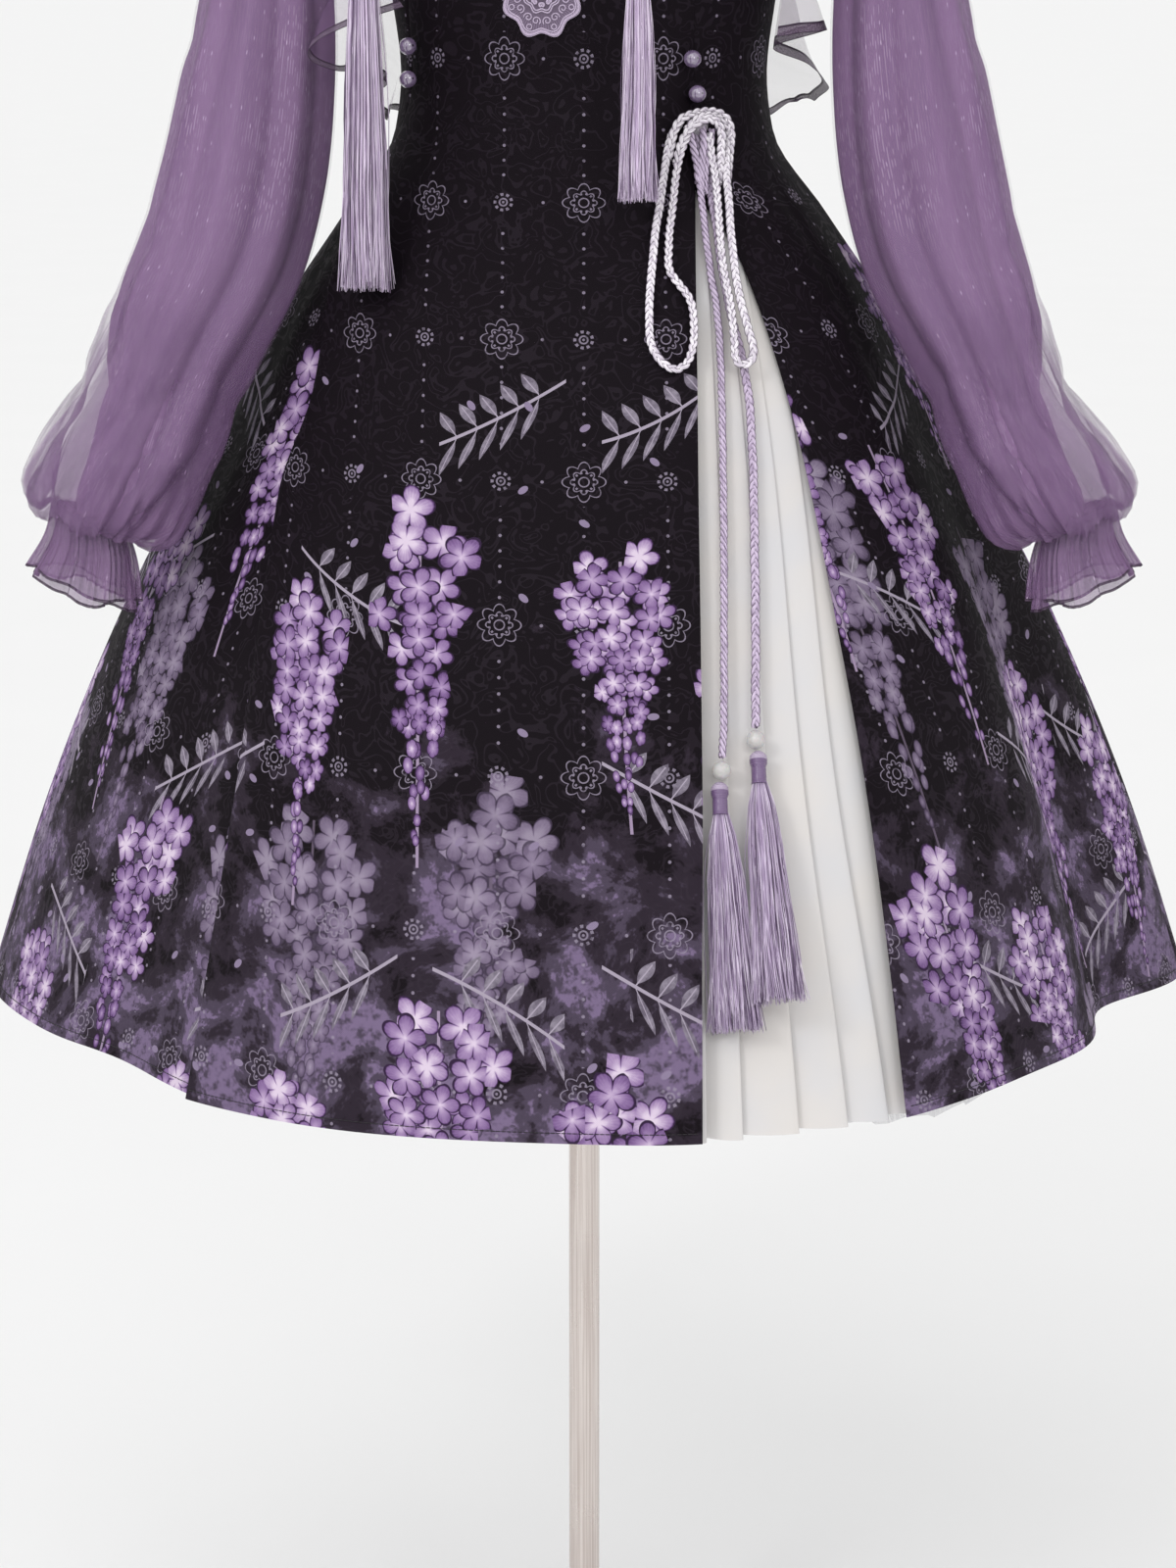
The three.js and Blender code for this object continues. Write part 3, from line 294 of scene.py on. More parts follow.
def relief(angle, z):
    """How far flutes and creases move the cloth out: flutes grow down to the hem, and each crease
    leans on its way down and fades at both ends."""
    height = z[..., None]
    grown = smoothstep(-50, HEM, height)
    out = bumps(FLUTES, angle, FLUTES["angle"], FLUTES["depth"] * grown)
    c = CREASES
    down = (c["top"] - height) / 100
    fade = smoothstep(c["top"], c["top"] - 70, height) * smoothstep(c["bottom"], c["bottom"] + 90, height)
    return out + bumps(c, angle, c["angle"] + c["lean"] * down, c["depth"] * fade)


def worn(rows, angle, z, out=0.0):
    """A body section: ((side + out) sin a, -(depth + out) cos a, z), with its own depth in front
    and behind."""
    a = np.radians(angle)
    depth = np.where(np.cos(a) > 0, column(rows, "front", z), column(rows, "back", z))
    side = column(rows, "side", z)
    return np.stack([(side + out) * np.sin(a), -(depth + out) * np.cos(a), WAIST + z + 0 * a], -1)


def bare_cloth(angle, z):
    return worn(OUTLINE, angle, z, relief(angle, z))


def unit(v):
    return v / np.linalg.norm(v, axis=-1, keepdims=True)


def on_cloth(angle, z, lift):
    """Places over the dress cloth, and the way out there: the cross product of the steps round and
    up. lift is the distance out."""
    angle, z = np.broadcast_arrays(np.asarray(angle, float), np.asarray(z, float))
    around = bare_cloth(angle + 0.5, z) - bare_cloth(angle - 0.5, z)
    up = bare_cloth(angle, z + 0.5) - bare_cloth(angle, z - 0.5)
    out = unit(np.cross(around, up))
    return bare_cloth(angle, z) + out * np.asarray(lift, float)[..., None], out


def angle_at(x, z):
    """The angle at which the dress is x from the centre plane, on the front."""
    return np.degrees(np.arcsin(np.clip(x / column(OUTLINE, "side", z), -1, 1)))


def on_front(x, z, lift=0.0):
    x, z, lift = (np.asarray(v, float) for v in (x, z, lift))
    return on_cloth(angle_at(x, z), z, lift)[0]


def gap_angle(z):
    return np.degrees(GAP / 2 / column(OUTLINE, "side", z))


def armhole_reach(z):
    t = (z - ARMHOLE["middle"]) / ARMHOLE["half"]
    return ARMHOLE["reach"] * np.sqrt(np.clip(1 - t * t, 0, 1))


def neckline_angle(z, lowest):
    """Angle of the neckline: a quarter of an ellipse from its lowest point up to the shoulder."""
    t = np.clip((NECK["top"] - z) / (NECK["top"] - lowest), 0, 1)
    return angle_at(NECK["half"] * np.sqrt(1 - t * t), z)


def hem_rise(angle, z):
    return column(HEMLINE, "rise", angle) * smoothstep(-350, HEM, z)


def level(*at):
    """No lift and no rise, at any place."""
    return 0.0 * sum(at)


def flap_lift(z):
    return FLAP_LIFT * smoothstep(-8, SLIT_TOP, z)


def right_edge(z):
    return -angle_at(column(SEAMS, "right", z), z)


def left_edge(z):
    return angle_at(column(SEAMS, "left", z), z)


def slit_edge(z):
    return angle_at(column(SEAMS, "slit", z), z) + gap_angle(z)


def underlap_edge(z):
    lap = UNDERLAP * smoothstep(SLIT_TOP, -110, z)
    return -angle_at(column(SEAMS, "right", z) - lap, z) - gap_angle(z)


def side_front(z):
    return 90 - armhole_reach(z) - gap_angle(z)


def side_back(z):
    return 90 + armhole_reach(z) + gap_angle(z)


def bolero_edge(z):
    return angle_at(column(BOLERO_EDGE, "x", z), z)


# -------- meshes
def grid_normals(points, closed=False):
    """The way out of a grid: the cross product of its steps along rows and along columns."""
    if closed:
        ring = points[:, :-1]
        along = np.roll(ring, -1, 1) - np.roll(ring, 1, 1)
        along = np.concatenate([along, along[:, :1]], 1)
    else:
        along = np.gradient(points, axis=1)
    return unit(np.cross(along, np.gradient(points, axis=0)))


def grid_faces(rows, columns):
    """Corner numbers of the four-sided faces of a grid, counted row by row."""
    first = (np.arange(rows - 1)[:, None] * columns + np.arange(columns - 1)).ravel()
    return np.stack([first, first + 1, first + columns + 1, first + columns], -1)


def flat_map(points, heights, middle, start=0.0):
    """Millimetres along each row from its middle column, and down that column from the waist."""
    steps = np.linalg.norm(np.diff(points, axis=1), axis=-1)
    along = np.concatenate([np.zeros((len(points), 1)), np.cumsum(steps, 1)], 1)
    climb = way_along(points[:, middle])
    down = np.interp(0, heights, climb) - climb if heights[0] < heights[-1] else climb
    u = along - along[:, middle][:, None] + np.asarray(start, float).reshape(-1, 1)
    return np.stack([u, np.broadcast_to(down[:, None], u.shape)], -1)


def way_along(points):
    """Distance gone along the first axis, from 0."""
    steps = np.linalg.norm(np.diff(points, axis=0), axis=-1)
    return np.concatenate([0 * steps[:1], np.cumsum(steps, 0)])


class Sewing:
    """Grids of points that are joined where they meet and become one closed thin wall, or a solid."""

    def __init__(self):
        self.points, self.inner, self.faces, self.uv = [], [], [], []
        self.count = 0

    def add(self, points, inner=None, uv=None, mirror=False):
        """One grid. inner holds the other side of the wall, for a piece that is one."""
        rows, columns = points.shape[:2]
        if uv is None:
            uv = np.zeros((rows, columns, 2))
        if mirror:
            flip = np.array([-1, 1, 1])
            points, uv = points[:, ::-1] * flip, uv[:, ::-1]
            inner = None if inner is None else inner[:, ::-1] * flip
        faces = grid_faces(rows, columns)
        self.points.append(points.reshape(-1, 3))
        if inner is not None:
            self.inner.append(inner.reshape(-1, 3))
        self.faces.append(faces + self.count)
        self.uv.append(uv.reshape(-1, 2)[faces])
        self.count += rows * columns
        return self

    def mesh(self, name, sharp):
        """Points closer than a hundredth of a millimetre become one, a wall gets its inner side and
        a rim along each free edge, and a face that repeats a corner loses it."""
        points, faces, uv = (np.concatenate(part) for part in (self.points, self.faces, self.uv))
        _, first, place = np.unique(
            np.round(points, 2), axis=0, return_index=True, return_inverse=True
        )
        points, faces = points[first], place.reshape(-1)[faces]
        if self.inner:
            inner = np.concatenate(self.inner)[first]
            count = len(points)
            ends = np.stack([faces, np.roll(faces, -1, 1)], -1).reshape(-1, 2)
            corner = uv.reshape(-1, 2)
            after = np.roll(uv, -1, 1).reshape(-1, 2)
            real = ends[:, 0] != ends[:, 1]
            ends, corner, after = ends[real], corner[real], after[real]
            key = ends[:, 0] * count + ends[:, 1]
            free = ~np.isin(key, ends[:, 1] * count + ends[:, 0])
            a, b = ends[free].T
            rim = np.stack([b, a, a + count, b + count], -1)
            rim_uv = np.stack([after[free], corner[free], corner[free], after[free]], 1)
            points = np.concatenate([points, inner])
            faces = np.concatenate([faces, faces[:, ::-1] + count, rim])
            uv = np.concatenate([uv, uv[:, ::-1], rim_uv])
        keep = faces != np.roll(faces, -1, 1)
        whole = keep.sum(1) >= 3
        faces, uv, keep = faces[whole], uv[whole], keep[whole]
        size = keep.sum(1)
        mesh = bpy.data.meshes.new(name)
        mesh.vertices.add(len(points))
        mesh.vertices.foreach_set("co", (points * MM).astype(np.float32).ravel())
        mesh.loops.add(int(size.sum()))
        mesh.loops.foreach_set("vertex_index", faces[keep].astype(np.int32))
        mesh.polygons.add(len(faces))
        mesh.polygons.foreach_set("loop_start", (np.cumsum(size) - size).astype(np.int32))
        mesh.polygons.foreach_set("use_smooth", np.ones(len(faces), bool))
        layer = mesh.uv_layers.new(name="Cloth")
        layer.data.foreach_set("uv", uv[keep].astype(np.float32).ravel())
        mesh.update(calc_edges=True)
        mesh.validate()
        mesh.set_sharp_from_angle(angle=math.radians(sharp))
        return mesh


def show(name, sewing, finish, sharp=50.0, stands_in=True):
    """The finished object: at the origin, in its material, riding on the one body, and in place of
    the CAD node of its name unless it is an extra piece."""
    mesh = sewing.mesh(name, sharp)
    piece = bpy.data.objects.new(f"fine_{name}", mesh)
    bpy.context.scene.collection.objects.link(piece)
    mesh.materials.append(material(finish))
    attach(piece, "root")
    if stands_in:
        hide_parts(name)
    return piece


def cloth_piece(name, grids, wall, finish, mirror=False):
    """A sheet of cloth as a closed thin wall. Each grid is (points, the way out, flat map)."""
    sewing = Sewing()
    for points, out, uv in grids:
        sewing.add(points, points - out * wall, uv, mirror)
    piece = show(name, sewing, finish)


def frames_along(centres, up):
    """Two directions across each path, square to it and to each other: the first is up made square
    to the path."""
    way = unit(np.gradient(centres, axis=-2))
    across = unit(up - (up * way).sum(-1, keepdims=True) * way)
    return across, np.cross(way, across)


def tubes(sewing, centres, radii, sides):
    """Round threads along many paths at once: centre + r (cos t across + sin t beside), closed by a
    point at each end. centres is (threads, steps, 3). The map holds twice the thread's number plus
    the share of its turn, and its way in millimetres."""
    centres = np.asarray(centres, float)
    count, steps = centres.shape[:2]
    across, beside = frames_along(centres, np.array([0.0, -1.0, 0.0]))
    radii = np.broadcast_to(radii, (count, steps)).astype(float)
    turn = np.linspace(0, 2 * np.pi, sides + 1)
    ring = np.cos(turn)[:, None] * across[:, :, None] + np.sin(turn)[:, None] * beside[:, :, None]
    rings = centres[:, :, None] + radii[:, :, None, None] * ring
    ends = [np.broadcast_to(centres[:, i, None, None], (count, 1, sides + 1, 3)) for i in (0, -1)]
    rings = np.concatenate([ends[0], rings, ends[1]], 1)[:, :, ::-1]
    way = np.concatenate(
        [np.zeros((count, 1)), np.cumsum(np.linalg.norm(np.diff(centres, axis=1), axis=-1), 1)], 1
    )
    way = np.concatenate([way[:, :1], way, way[:, -1:]], 1)
    number = 2 * np.arange(count)[:, None, None]
    u = np.broadcast_to(number + turn / (2 * np.pi), (count, steps + 2, sides + 1))
    uv = np.stack([u, np.broadcast_to(way[:, :, None], u.shape)], -1)
    for thread, thread_uv in zip(rings, uv):
        sewing.add(thread, uv=thread_uv)


def curve_through(places, spacing, number=False):
    """Points spacing apart on smooth lines through places, or rings of points on lines through
    rings: cubics whose slope at each place is the mean of its two chords, weighted by their
    lengths. With number, also how far along the given places each one is, counted from 0."""
    places = np.asarray(places, float)
    steps = np.linalg.norm(np.diff(places, axis=0), axis=-1)
    chord = steps.reshape(len(steps), -1).mean(1)
    wide = (-1,) + (1,) * (places.ndim - 1)
    t = np.concatenate([[0], np.cumsum(chord)])
    pace = np.diff(places, axis=0) / chord.reshape(wide)
    share = (chord[1:] / (chord[1:] + chord[:-1])).reshape(wide)
    slope = np.concatenate([pace[:1], share * pace[:-1] + (1 - share) * pace[1:], pace[-1:]])
    at = np.linspace(0, t[-1], max(8, int(t[-1] / spacing)))
    i = np.clip(np.searchsorted(t, at, side="right") - 1, 0, len(chord) - 1)
    s = ((at - t[i]) / chord[i]).reshape(wide)
    run = chord[i].reshape(wide)
    points = (
        (2 * s**3 - 3 * s**2 + 1) * places[i]
        + (s**3 - 2 * s**2 + s) * run * slope[i]
        + (3 * s**2 - 2 * s**3) * places[i + 1]
        + (s**3 - s**2) * run * slope[i + 1]
    )
    return (points, np.interp(at, t, np.arange(len(t)))) if number else points


def wound(start, end, profile, columns=28, ribs=17):
    """A piece wound with thread from start to end: its profile's radius at each share of the way,
    and 0.1 sin(2 pi ribs share) for the thread."""
    start, end = np.asarray(start, float), np.asarray(end, float)
    share, radius = np.array(profile, float).T
    at = np.interp(np.linspace(0, 1, 10 * ribs), np.linspace(0, 1, len(share)), share)
    r = np.interp(at, share, radius) + 0.1 * np.sin(2 * np.pi * ribs * at)
    way = unit(end - start)
    side = unit(np.cross(way, (0.0, 1.0, 0.0)))
    turn = np.linspace(0, 2 * np.pi, columns + 1)
    around = np.cos(turn)[:, None] * side + np.sin(turn)[:, None] * np.cross(side, way)
    centres = start + (end - start) * at[:, None]
    rings = centres[:, None] + r[:, None, None] * around
    poles = [np.broadcast_to(c, (1, columns + 1, 3)) for c in (centres[0], centres[-1])]
    points = np.concatenate([poles[0], rings, poles[1]])
    uv = flat_map(points, np.arange(len(points), 0, -1), 0)
    return Sewing().add(points, uv=uv)


def ball(centre, wide, deep, high, columns, rows):
    """A ball or egg: centre + (wide cos t cos p, deep cos t sin p, high sin t)."""
    t = np.linspace(-np.pi / 2, np.pi / 2, rows)[:, None]
    p = np.linspace(0, 2 * np.pi, columns + 1)[None]
    x, y = wide * np.cos(t) * np.cos(p), deep * np.cos(t) * np.sin(p)
    shape = np.stack([x, y, high * np.sin(t) + 0 * p], -1)
    uv = np.stack([p * wide + 0 * t, high * t + 0 * p], -1)
    return Sewing().add(np.asarray(centre, float) + shape, uv=uv)


# -------- the dress
NECK_TURN = np.radians(np.arange(0, 91, 5))
ARM_TURN = np.radians(np.arange(0, 181, 7.5))


def heights_of(low, high, spacing, *curved):
    """Heights of the rows of a panel: even ones, and closer ones where a curved edge runs."""
    even = np.linspace(low, high, int(round((high - low) / spacing)) + 1)
    extra = np.concatenate([np.asarray(c, float) for c in curved]) if curved else even[:0]
    extra = extra[(extra > low + 0.3) & (extra < high - 0.3)]
    near = np.abs(even[1:-1, None] - extra).min(1) < 1.6 if len(extra) else np.zeros(len(even) - 2, bool)
    return np.unique(np.round(np.concatenate([even[:1], even[1:-1][~near], even[-1:], extra]), 3))


def neck_rows(lowest):
    return NECK["top"] - (NECK["top"] - lowest) * np.cos(NECK_TURN)


def arm_rows():
    return ARMHOLE["middle"] - ARMHOLE["half"] * np.cos(ARM_TURN)


def strip(heights, first, last, count, lift, rise=level, dips=(0.7, 0.7)):
    """Cloth between two edges that are given as angles at each height. Two closer columns lie
    beside each edge, where the seam draws the cloth in: lift - dip * exp(-(distance / 2 mm)^2)."""
    z = heights[:, None]
    start, end = first(heights)[:, None], last(heights)[:, None]
    width = np.maximum(np.radians(end - start) * column(OUTLINE, "side", z), 1e-6)
    near = np.minimum(1.6 / width, 0.02)
    inner = np.linspace(0, 1, count)[None, 1:-1]
    share = np.concatenate(
        [0 * near, near, 2.4 * near, 4 * near + (1 - 8 * near) * inner, 1 - 2.4 * near, 1 - near,
         1 + 0 * near], 1
    )
    angle = start + (end - start) * share
    dip = dips[0] * np.exp(-((share * width / 2) ** 2)) + dips[1] * np.exp(-(((1 - share) * width / 2) ** 2))
    out = lift(z) - dip * smoothstep(0, 12, width)
    return on_cloth(angle, z + rise(angle, z), out * np.ones_like(angle))


def front_neck(z):
    return neckline_angle(z, NECK["front"])


def back_neck(z):
    return 180 - neckline_angle(z, NECK["back"]) - 0.1 * gap_angle(z)


def front_panel_parts():
    heights = heights_of(HEM, NECK_END, PANEL_STEP, neck_rows(NECK["front"]))
    apart = np.radians(front_neck(heights)) * column(OUTLINE, "front", heights)
    seam = 0.2  # share of a gap by which the panel keeps clear of its neighbours
    right = strip(heights, lambda z: right_edge(z) + seam * gap_angle(z), lambda z: -front_neck(z), 34,
                  flap_lift, dips=(0.7, 0))
    left = strip(heights, front_neck, lambda z: left_edge(z) - seam * gap_angle(z), 26, flap_lift,
                 dips=(0, 0.5))
    return [
        (*right, flat_map(right[0], heights, -1, -apart)),
        (*left, flat_map(left[0], heights, 0, apart)),
    ]


def panel(heights, first, last, count, start):
    """One strip, whose map counts from start at its middle column."""
    points, out = strip(heights, first, last, count, level, hem_rise)
    return [(points, out, flat_map(points, heights, points.shape[1] // 2, start))]


def side_panel_parts(side):
    """The wearer's right one laps under the front panel, the left one ends at the slit."""
    heights = heights_of(HEM, SHOULDER, PANEL_STEP, arm_rows())
    if side == "right":
        return panel(heights, lambda z: -side_front(z), underlap_edge, 44, -310)
    return panel(heights, slit_edge, side_front, 44, 330)


def back_panel_parts(side):
    heights = heights_of(HEM, NECK_END, PANEL_STEP, neck_rows(NECK["back"]), arm_rows())
    if side == "left":
        return panel(heights, side_back, back_neck, 66, 900)
    return panel(heights, lambda z: -back_neck(z), lambda z: -side_back(z), 66, -880)


# Fold edges of the insert: distance from the centre plane at the top and at the hem.
FOLDS = ((50, 34), (67, 70), (71, 92), (76, 126), (82, 156), (91, 182), (103, 206), (118, 226))
# Across one pleat: share of its width, and how far in it lies, from its shadowed start out to its
# fold edge and back under.
PLEAT = (
    (0, 1), (0.1, 0.86), (0.28, 0.58), (0.5, 0.3), (0.72, 0.1), (0.88, 0.02), (0.96, 0), (0.99, 0.05),
    (1, 0.14), (0.985, 0.24), (0.9, 0.36), (0.76, 0.5), (0.7, 0.6), (0.71, 0.7), (0.8, 0.82), (0.92, 0.94),
)


def insert_parts():
    """Knife pleats that fan out: each fold edge runs from its top to its hem by share^0.7 with a
    slight S, and the cloth across a pleat follows PLEAT. Fold edges hang a little lower."""
    heights = heights_of(HEM + PLEATS["shorter"], PLEATS["top"], INSERT_STEP)
    z = heights[:, None]
    down = np.clip((PLEATS["top"] - z) / (PLEATS["top"] - HEM), 0, 1)
    run = down**0.7 - 0.08 * np.sin(np.pi * np.clip((down - 0.25) / 0.75, 0, 1)) ** 2
    share, deep = np.array(PLEAT, float).T
    edges = [top + (hem - top) * run for top, hem in FOLDS]
    across = np.concatenate([a + (b - a) * share for a, b in zip(edges[:-1], edges[1:])], 1)
    deep = np.tile(deep, len(FOLDS) - 1)[None]
    slow = smoothstep(PLEATS["top"], HEM, z)
    base = PLEATS["top_lift"] + (PLEATS["hem_lift"] - PLEATS["top_lift"]) * slow
    depth = PLEATS["depth"] * (0.25 + 0.75 * slow)
    angle = angle_at(across, z)
    drop = 3.2 * (1 - deep) * smoothstep(-470, HEM, z)
    points, out = on_cloth(angle, z + hem_rise(angle, z) - drop, base - depth * deep)
    return [(points, out, flat_map(points, heights, 0))]


def petticoat_parts():
    """Net in a closed ring, gathered into folds that grow on their way down and leave its hem
    uneven. It hangs lower behind the slit."""
    turn = np.linspace(-180, 180, NET_COLUMNS)[None]
    share = np.linspace(1, 0, NET_ROWS)[:, None]
    longer = 12 * np.exp(-(((turn - 40) / 13) ** 2))
    z = PETTICOAT["top"] + (HEM + 6 - longer - PETTICOAT["top"]) * share
    lift = PETTICOAT["top_lift"] + (PETTICOAT["hem_lift"] - PETTICOAT["top_lift"]) * share
    folds = np.sin(np.radians(58 * turn) + 0.9 * np.sin(np.radians(7 * turn)))
    folds = folds + 0.5 * np.sin(np.radians(91 * turn) + 1.7)
    lift = lift + folds * (0.5 + 3.0 * share)
    z = z + 1.5 * folds * share**4
    points, _ = on_cloth(turn, z + hem_rise(turn, z), lift)
    points = points[::-1]
    points[:, -1] = points[:, 0]
    return [(points, grid_normals(points, True), flat_map(points, np.arange(len(points)), 0))]


# -------- the bolero
def bolero_lift(z):
    return BOLERO_LIFT + level(z)


def bolero_front_parts():
    heights = heights_of(BOLERO_HEM, BOLERO_TOP, PANEL_STEP, arm_rows())
    strips = strip(heights, bolero_edge, side_front, 26, bolero_lift, dips=(0, 0.5))
    return [(*strips, flat_map(strips[0], heights, 0))]


def bolero_back_parts():
    heights = heights_of(BOLERO_HEM, BOLERO_TOP, PANEL_STEP, neck_rows(NECK["back"]), arm_rows())
    parts = []
    for first, last, middle, dips in (
        (side_back, lambda z: 180 - neckline_angle(z, NECK["back"]), -1, (0.5, 0)),
        (lambda z: -180 + neckline_angle(z, NECK["back"]), lambda z: -side_back(z), 0, (0, 0.5)),
    ):
        strips = strip(heights, first, last, 30, bolero_lift, dips=dips)
        parts.append((*strips, flat_map(strips[0], heights, middle)))
    return parts


def flounce_parts():
    """Each line of the flounce runs from its seam to its hem: angle, height and distance out go by
    the table, the last by share^1.3, with small ripples that grow towards the hem."""
    at = np.linspace(FLOUNCE["at"][0], FLOUNCE["at"][-1], FLOUNCE_LINES)[None]
    share = np.linspace(0, 1, FLOUNCE_ROWS)[:, None]
    angle = column(FLOUNCE, "seam", at) + (column(FLOUNCE, "hem", at) - column(FLOUNCE, "seam", at)) * share
    z = BOLERO_HEM - GAP + (column(FLOUNCE, "z", at) - BOLERO_HEM + GAP) * share
    reach = BOLERO_LIFT + (column(FLOUNCE, "reach", at) - BOLERO_LIFT) * share**1.3
    reach = reach + 1.2 * share * np.sin(2.9 * at) * np.sin(0.37 * at + 0.6)
    points = on_cloth(angle, z, reach)[0][::-1, ::-1]
    uv = flat_map(points, np.arange(len(points)), 0)
    uv[..., 1] = way_along(points)
    return [(points, grid_normals(points), uv)]


def ring(rows, turn):
    """Rings about axes that lean out from straight down: centre + across cos t * inward
    + deep sin t * back. They start at the body's side and go by the back."""
    lean = np.radians(rows["lean"])[:, None, None]
    centre = np.stack([rows["x"], rows["y"], WAIST + rows["z"]], -1)[:, None]
    inward = np.concatenate([-np.cos(lean), 0 * lean, -np.sin(lean)], -1)
    t = np.radians(turn)[None, :, None]
    return (
        centre
        + rows["across"][:, None, None] * np.cos(t) * inward
        + rows["deep"][:, None, None] * np.sin(t) * np.array([0.0, 1, 0])
    )


def moved(points, amount):
    """The points of a tube moved out by an amount of millimetres, and the new way out."""
    points = points + grid_normals(points, True) * amount[..., None]
    points[:, -1] = points[:, 0]
    return points, grid_normals(points, True)


# Slack of the sleeve over the wrist: where round it, its height, how wide and high, its lean, its
# depth.
SLUMPS = table(
    "turn z width high lean depth",
    (20, -190, 34, 9, 0.5, 3), (75, -205, 30, 8, -0.5, -4), (130, -180, 38, 9, 0.4, 3.5),
    (185, -206, 30, 8, -0.45, -4), (215, -172, 30, 10, -0.5, -4.5), (240, -222, 28, 7, -0.5, 3),
    (262, -196, 26, 8, 0.5, -4), (300, -214, 34, 8, 0.4, 3.5), (335, -170, 36, 9, -0.4, -3),
    (205, -110, 30, 9, -0.4, -2.5), (290, -60, 34, 11, 0.35, -2), (100, -30, 30, 12, -0.3, -2),
    (250, 120, 40, 14, 0.3, -1.6), (160, 10, 34, 12, 0.35, -2), (318, 60, 30, 12, -0.3, -1.6),
)


# Swags where the sleeve rolls over the cuff: where round it, how wide, and how far down or up.
SWAGS = table(
    "turn width depth",
    (18, 22, 2.5), (62, 14, -5), (98, 26, 5), (140, 13, -5), (172, 20, 0), (200, 9, -6), (222, 13, 5),
    (243, 8, -5), (274, 22, 3.5), (309, 9, -6), (338, 17, 4),
)
# Sharp tucks that run up from the wrist and lean: where they start, how far they reach, how deep.
TUCKS = table(
    "turn lean width reach depth",
    (8, 0.25, 6, 60, -4), (40, -0.2, 7, 80, -4), (75, 0.3, 6, 50, -5), (118, -0.3, 7, 90, -4),
    (150, 0.3, 6, 60, -5), (186, 0.35, 5, 70, -5), (204, -0.4, 5, 90, -6), (232, -0.5, 5, 60, -5),
    (250, 0.5, 6, 45, -4), (292, 0.6, 6, 110, -4.5), (312, -0.5, 5, 55, -6), (352, 0.4, 6, 75, -4),
)


def sleeve_folds(turn, z, place):
    """Lengthwise folds, gathers at both ends, slumped folds and tucks over the wrist, and swags."""
    f = SLEEVE_FOLDS
    low = smoothstep(260, -200, z)[..., None]
    wander = 6 * np.sin(z / 47.0)[..., None] * np.cos(f["turn"])
    depth = f["shoulder"] + (f["wrist"] - f["shoulder"]) * low
    lengthwise = bumps(f, turn, f["turn"] + wander, depth)
    s = SLUMPS
    up = z[..., None] - s["z"] - s["lean"] * round_to(turn, s["turn"])
    slumps = bumps(s, turn, s["turn"], s["depth"] * np.exp(-((up / s["high"]) ** 2)))
    t = np.radians(turn)
    gathers = np.sin(31 * t + 2.2 * np.sin(3 * t)) + 0.6 * np.sin(47 * t + 1 + z / 30)
    gathered = 1.1 * smoothstep(-200, -268, z) + 0.7 * smoothstep(1.6, 0.4, place)
    ease = smoothstep(0, 0.9, place) * (1 - 0.8 * smoothstep(12.2, 14, place))
    swags = bumps(SWAGS, turn, SWAGS["turn"], SWAGS["depth"])
    swags = swags * np.exp(-(((place - 11.7) / 1.1) ** 2))
    k = TUCKS
    above = (z + 272)[..., None]
    aside = np.abs(round_to(turn, k["turn"] + k["lean"] * above))
    fade = smoothstep(k["reach"], 0.2 * k["reach"], above)
    tucks = (k["depth"] * np.exp(-aside / k["width"]) * fade).sum(-1) * smoothstep(13.2, 12.2, place)
    gathers = gathers * gathered * smoothstep(0, 0.25, place)
    return (lengthwise + slumps) * ease + gathers + swags + tucks


def tube_map(points, width, down=True):
    """Millimetres round a gathered tube, whose lengthwise threads keep to its columns, and along
    it from its first row, or back from its last."""
    climb = way_along(points.mean(1))
    if not down:
        climb = climb[-1] - climb
    u = np.linspace(0, width, points.shape[1])
    return np.stack(np.broadcast_arrays(u[None], climb[:, None]), -1)


def sleeve_rows(side):
    """The sleeve's table for one side, with its rings widened outwards by that side's spread."""
    rows = {key: value.copy() for key, value in SLEEVE.items()}
    half = column(SPREAD, side, rows["z"]) / 2
    rows["x"] += half
    rows["across"] += half
    return rows


def sleeve_parts(side):
    """The sleeve from the armhole to the turned-in wrist: smooth lines through its rings."""
    turn = np.linspace(0, 360, SLEEVE_COLUMNS)
    t = np.radians(turn)
    half, reach = ARMHOLE["half"] - 1.4, ARMHOLE["reach"] - 0.8
    head = on_cloth(90 + reach * np.sin(t), ARMHOLE["middle"] - half * np.cos(t), BOLERO_LIFT)[0]
    rings = np.concatenate([head[None], ring(sleeve_rows(side), turn)])
    points, place = curve_through(rings, SLEEVE_STEP, True)
    z = points[..., 2] - WAIST
    middle = z.mean(1, keepdims=True) + 0 * z
    place = place[:, None] + 0 * z
    points, out = moved(points, sleeve_folds(turn[None] + 0 * z, middle, place))
    return [(points, out, tube_map(points, 420))]


def lining_parts(side):
    """The inner layer lies close inside the sleeve. Low down it is narrower than the sleeve and
    keeps to the body's side, by the table."""
    turn = np.linspace(0, 360, SLEEVE_COLUMNS)
    rows = {key: value[2:] for key, value in sleeve_rows(side).items()}
    slack = column(LINING_SLACK, "slack", rows["z"])
    slack[-1] = 0
    rows["x"] -= 0.9 * slack
    rows["across"] -= LINING["inset"] + slack
    rows["deep"] -= LINING["inset"] + 0.4 * slack
    rows["across"][-1] = rows["deep"][-1] = LINING["wrist"]
    points, place = curve_through(ring(rows, turn), LINING_STEP, True)
    z = (points[..., 2] - WAIST).mean(1, keepdims=True) + 0 * points[..., 2]
    at = 3 + place[:, None] + 0 * z
    folds = (1 - 0.25 * smoothstep(-165, -215, z)) * sleeve_folds(turn[None] + 0 * z, z, at)
    points, out = moved(points, folds)
    return [(points, out, tube_map(points, 320))]


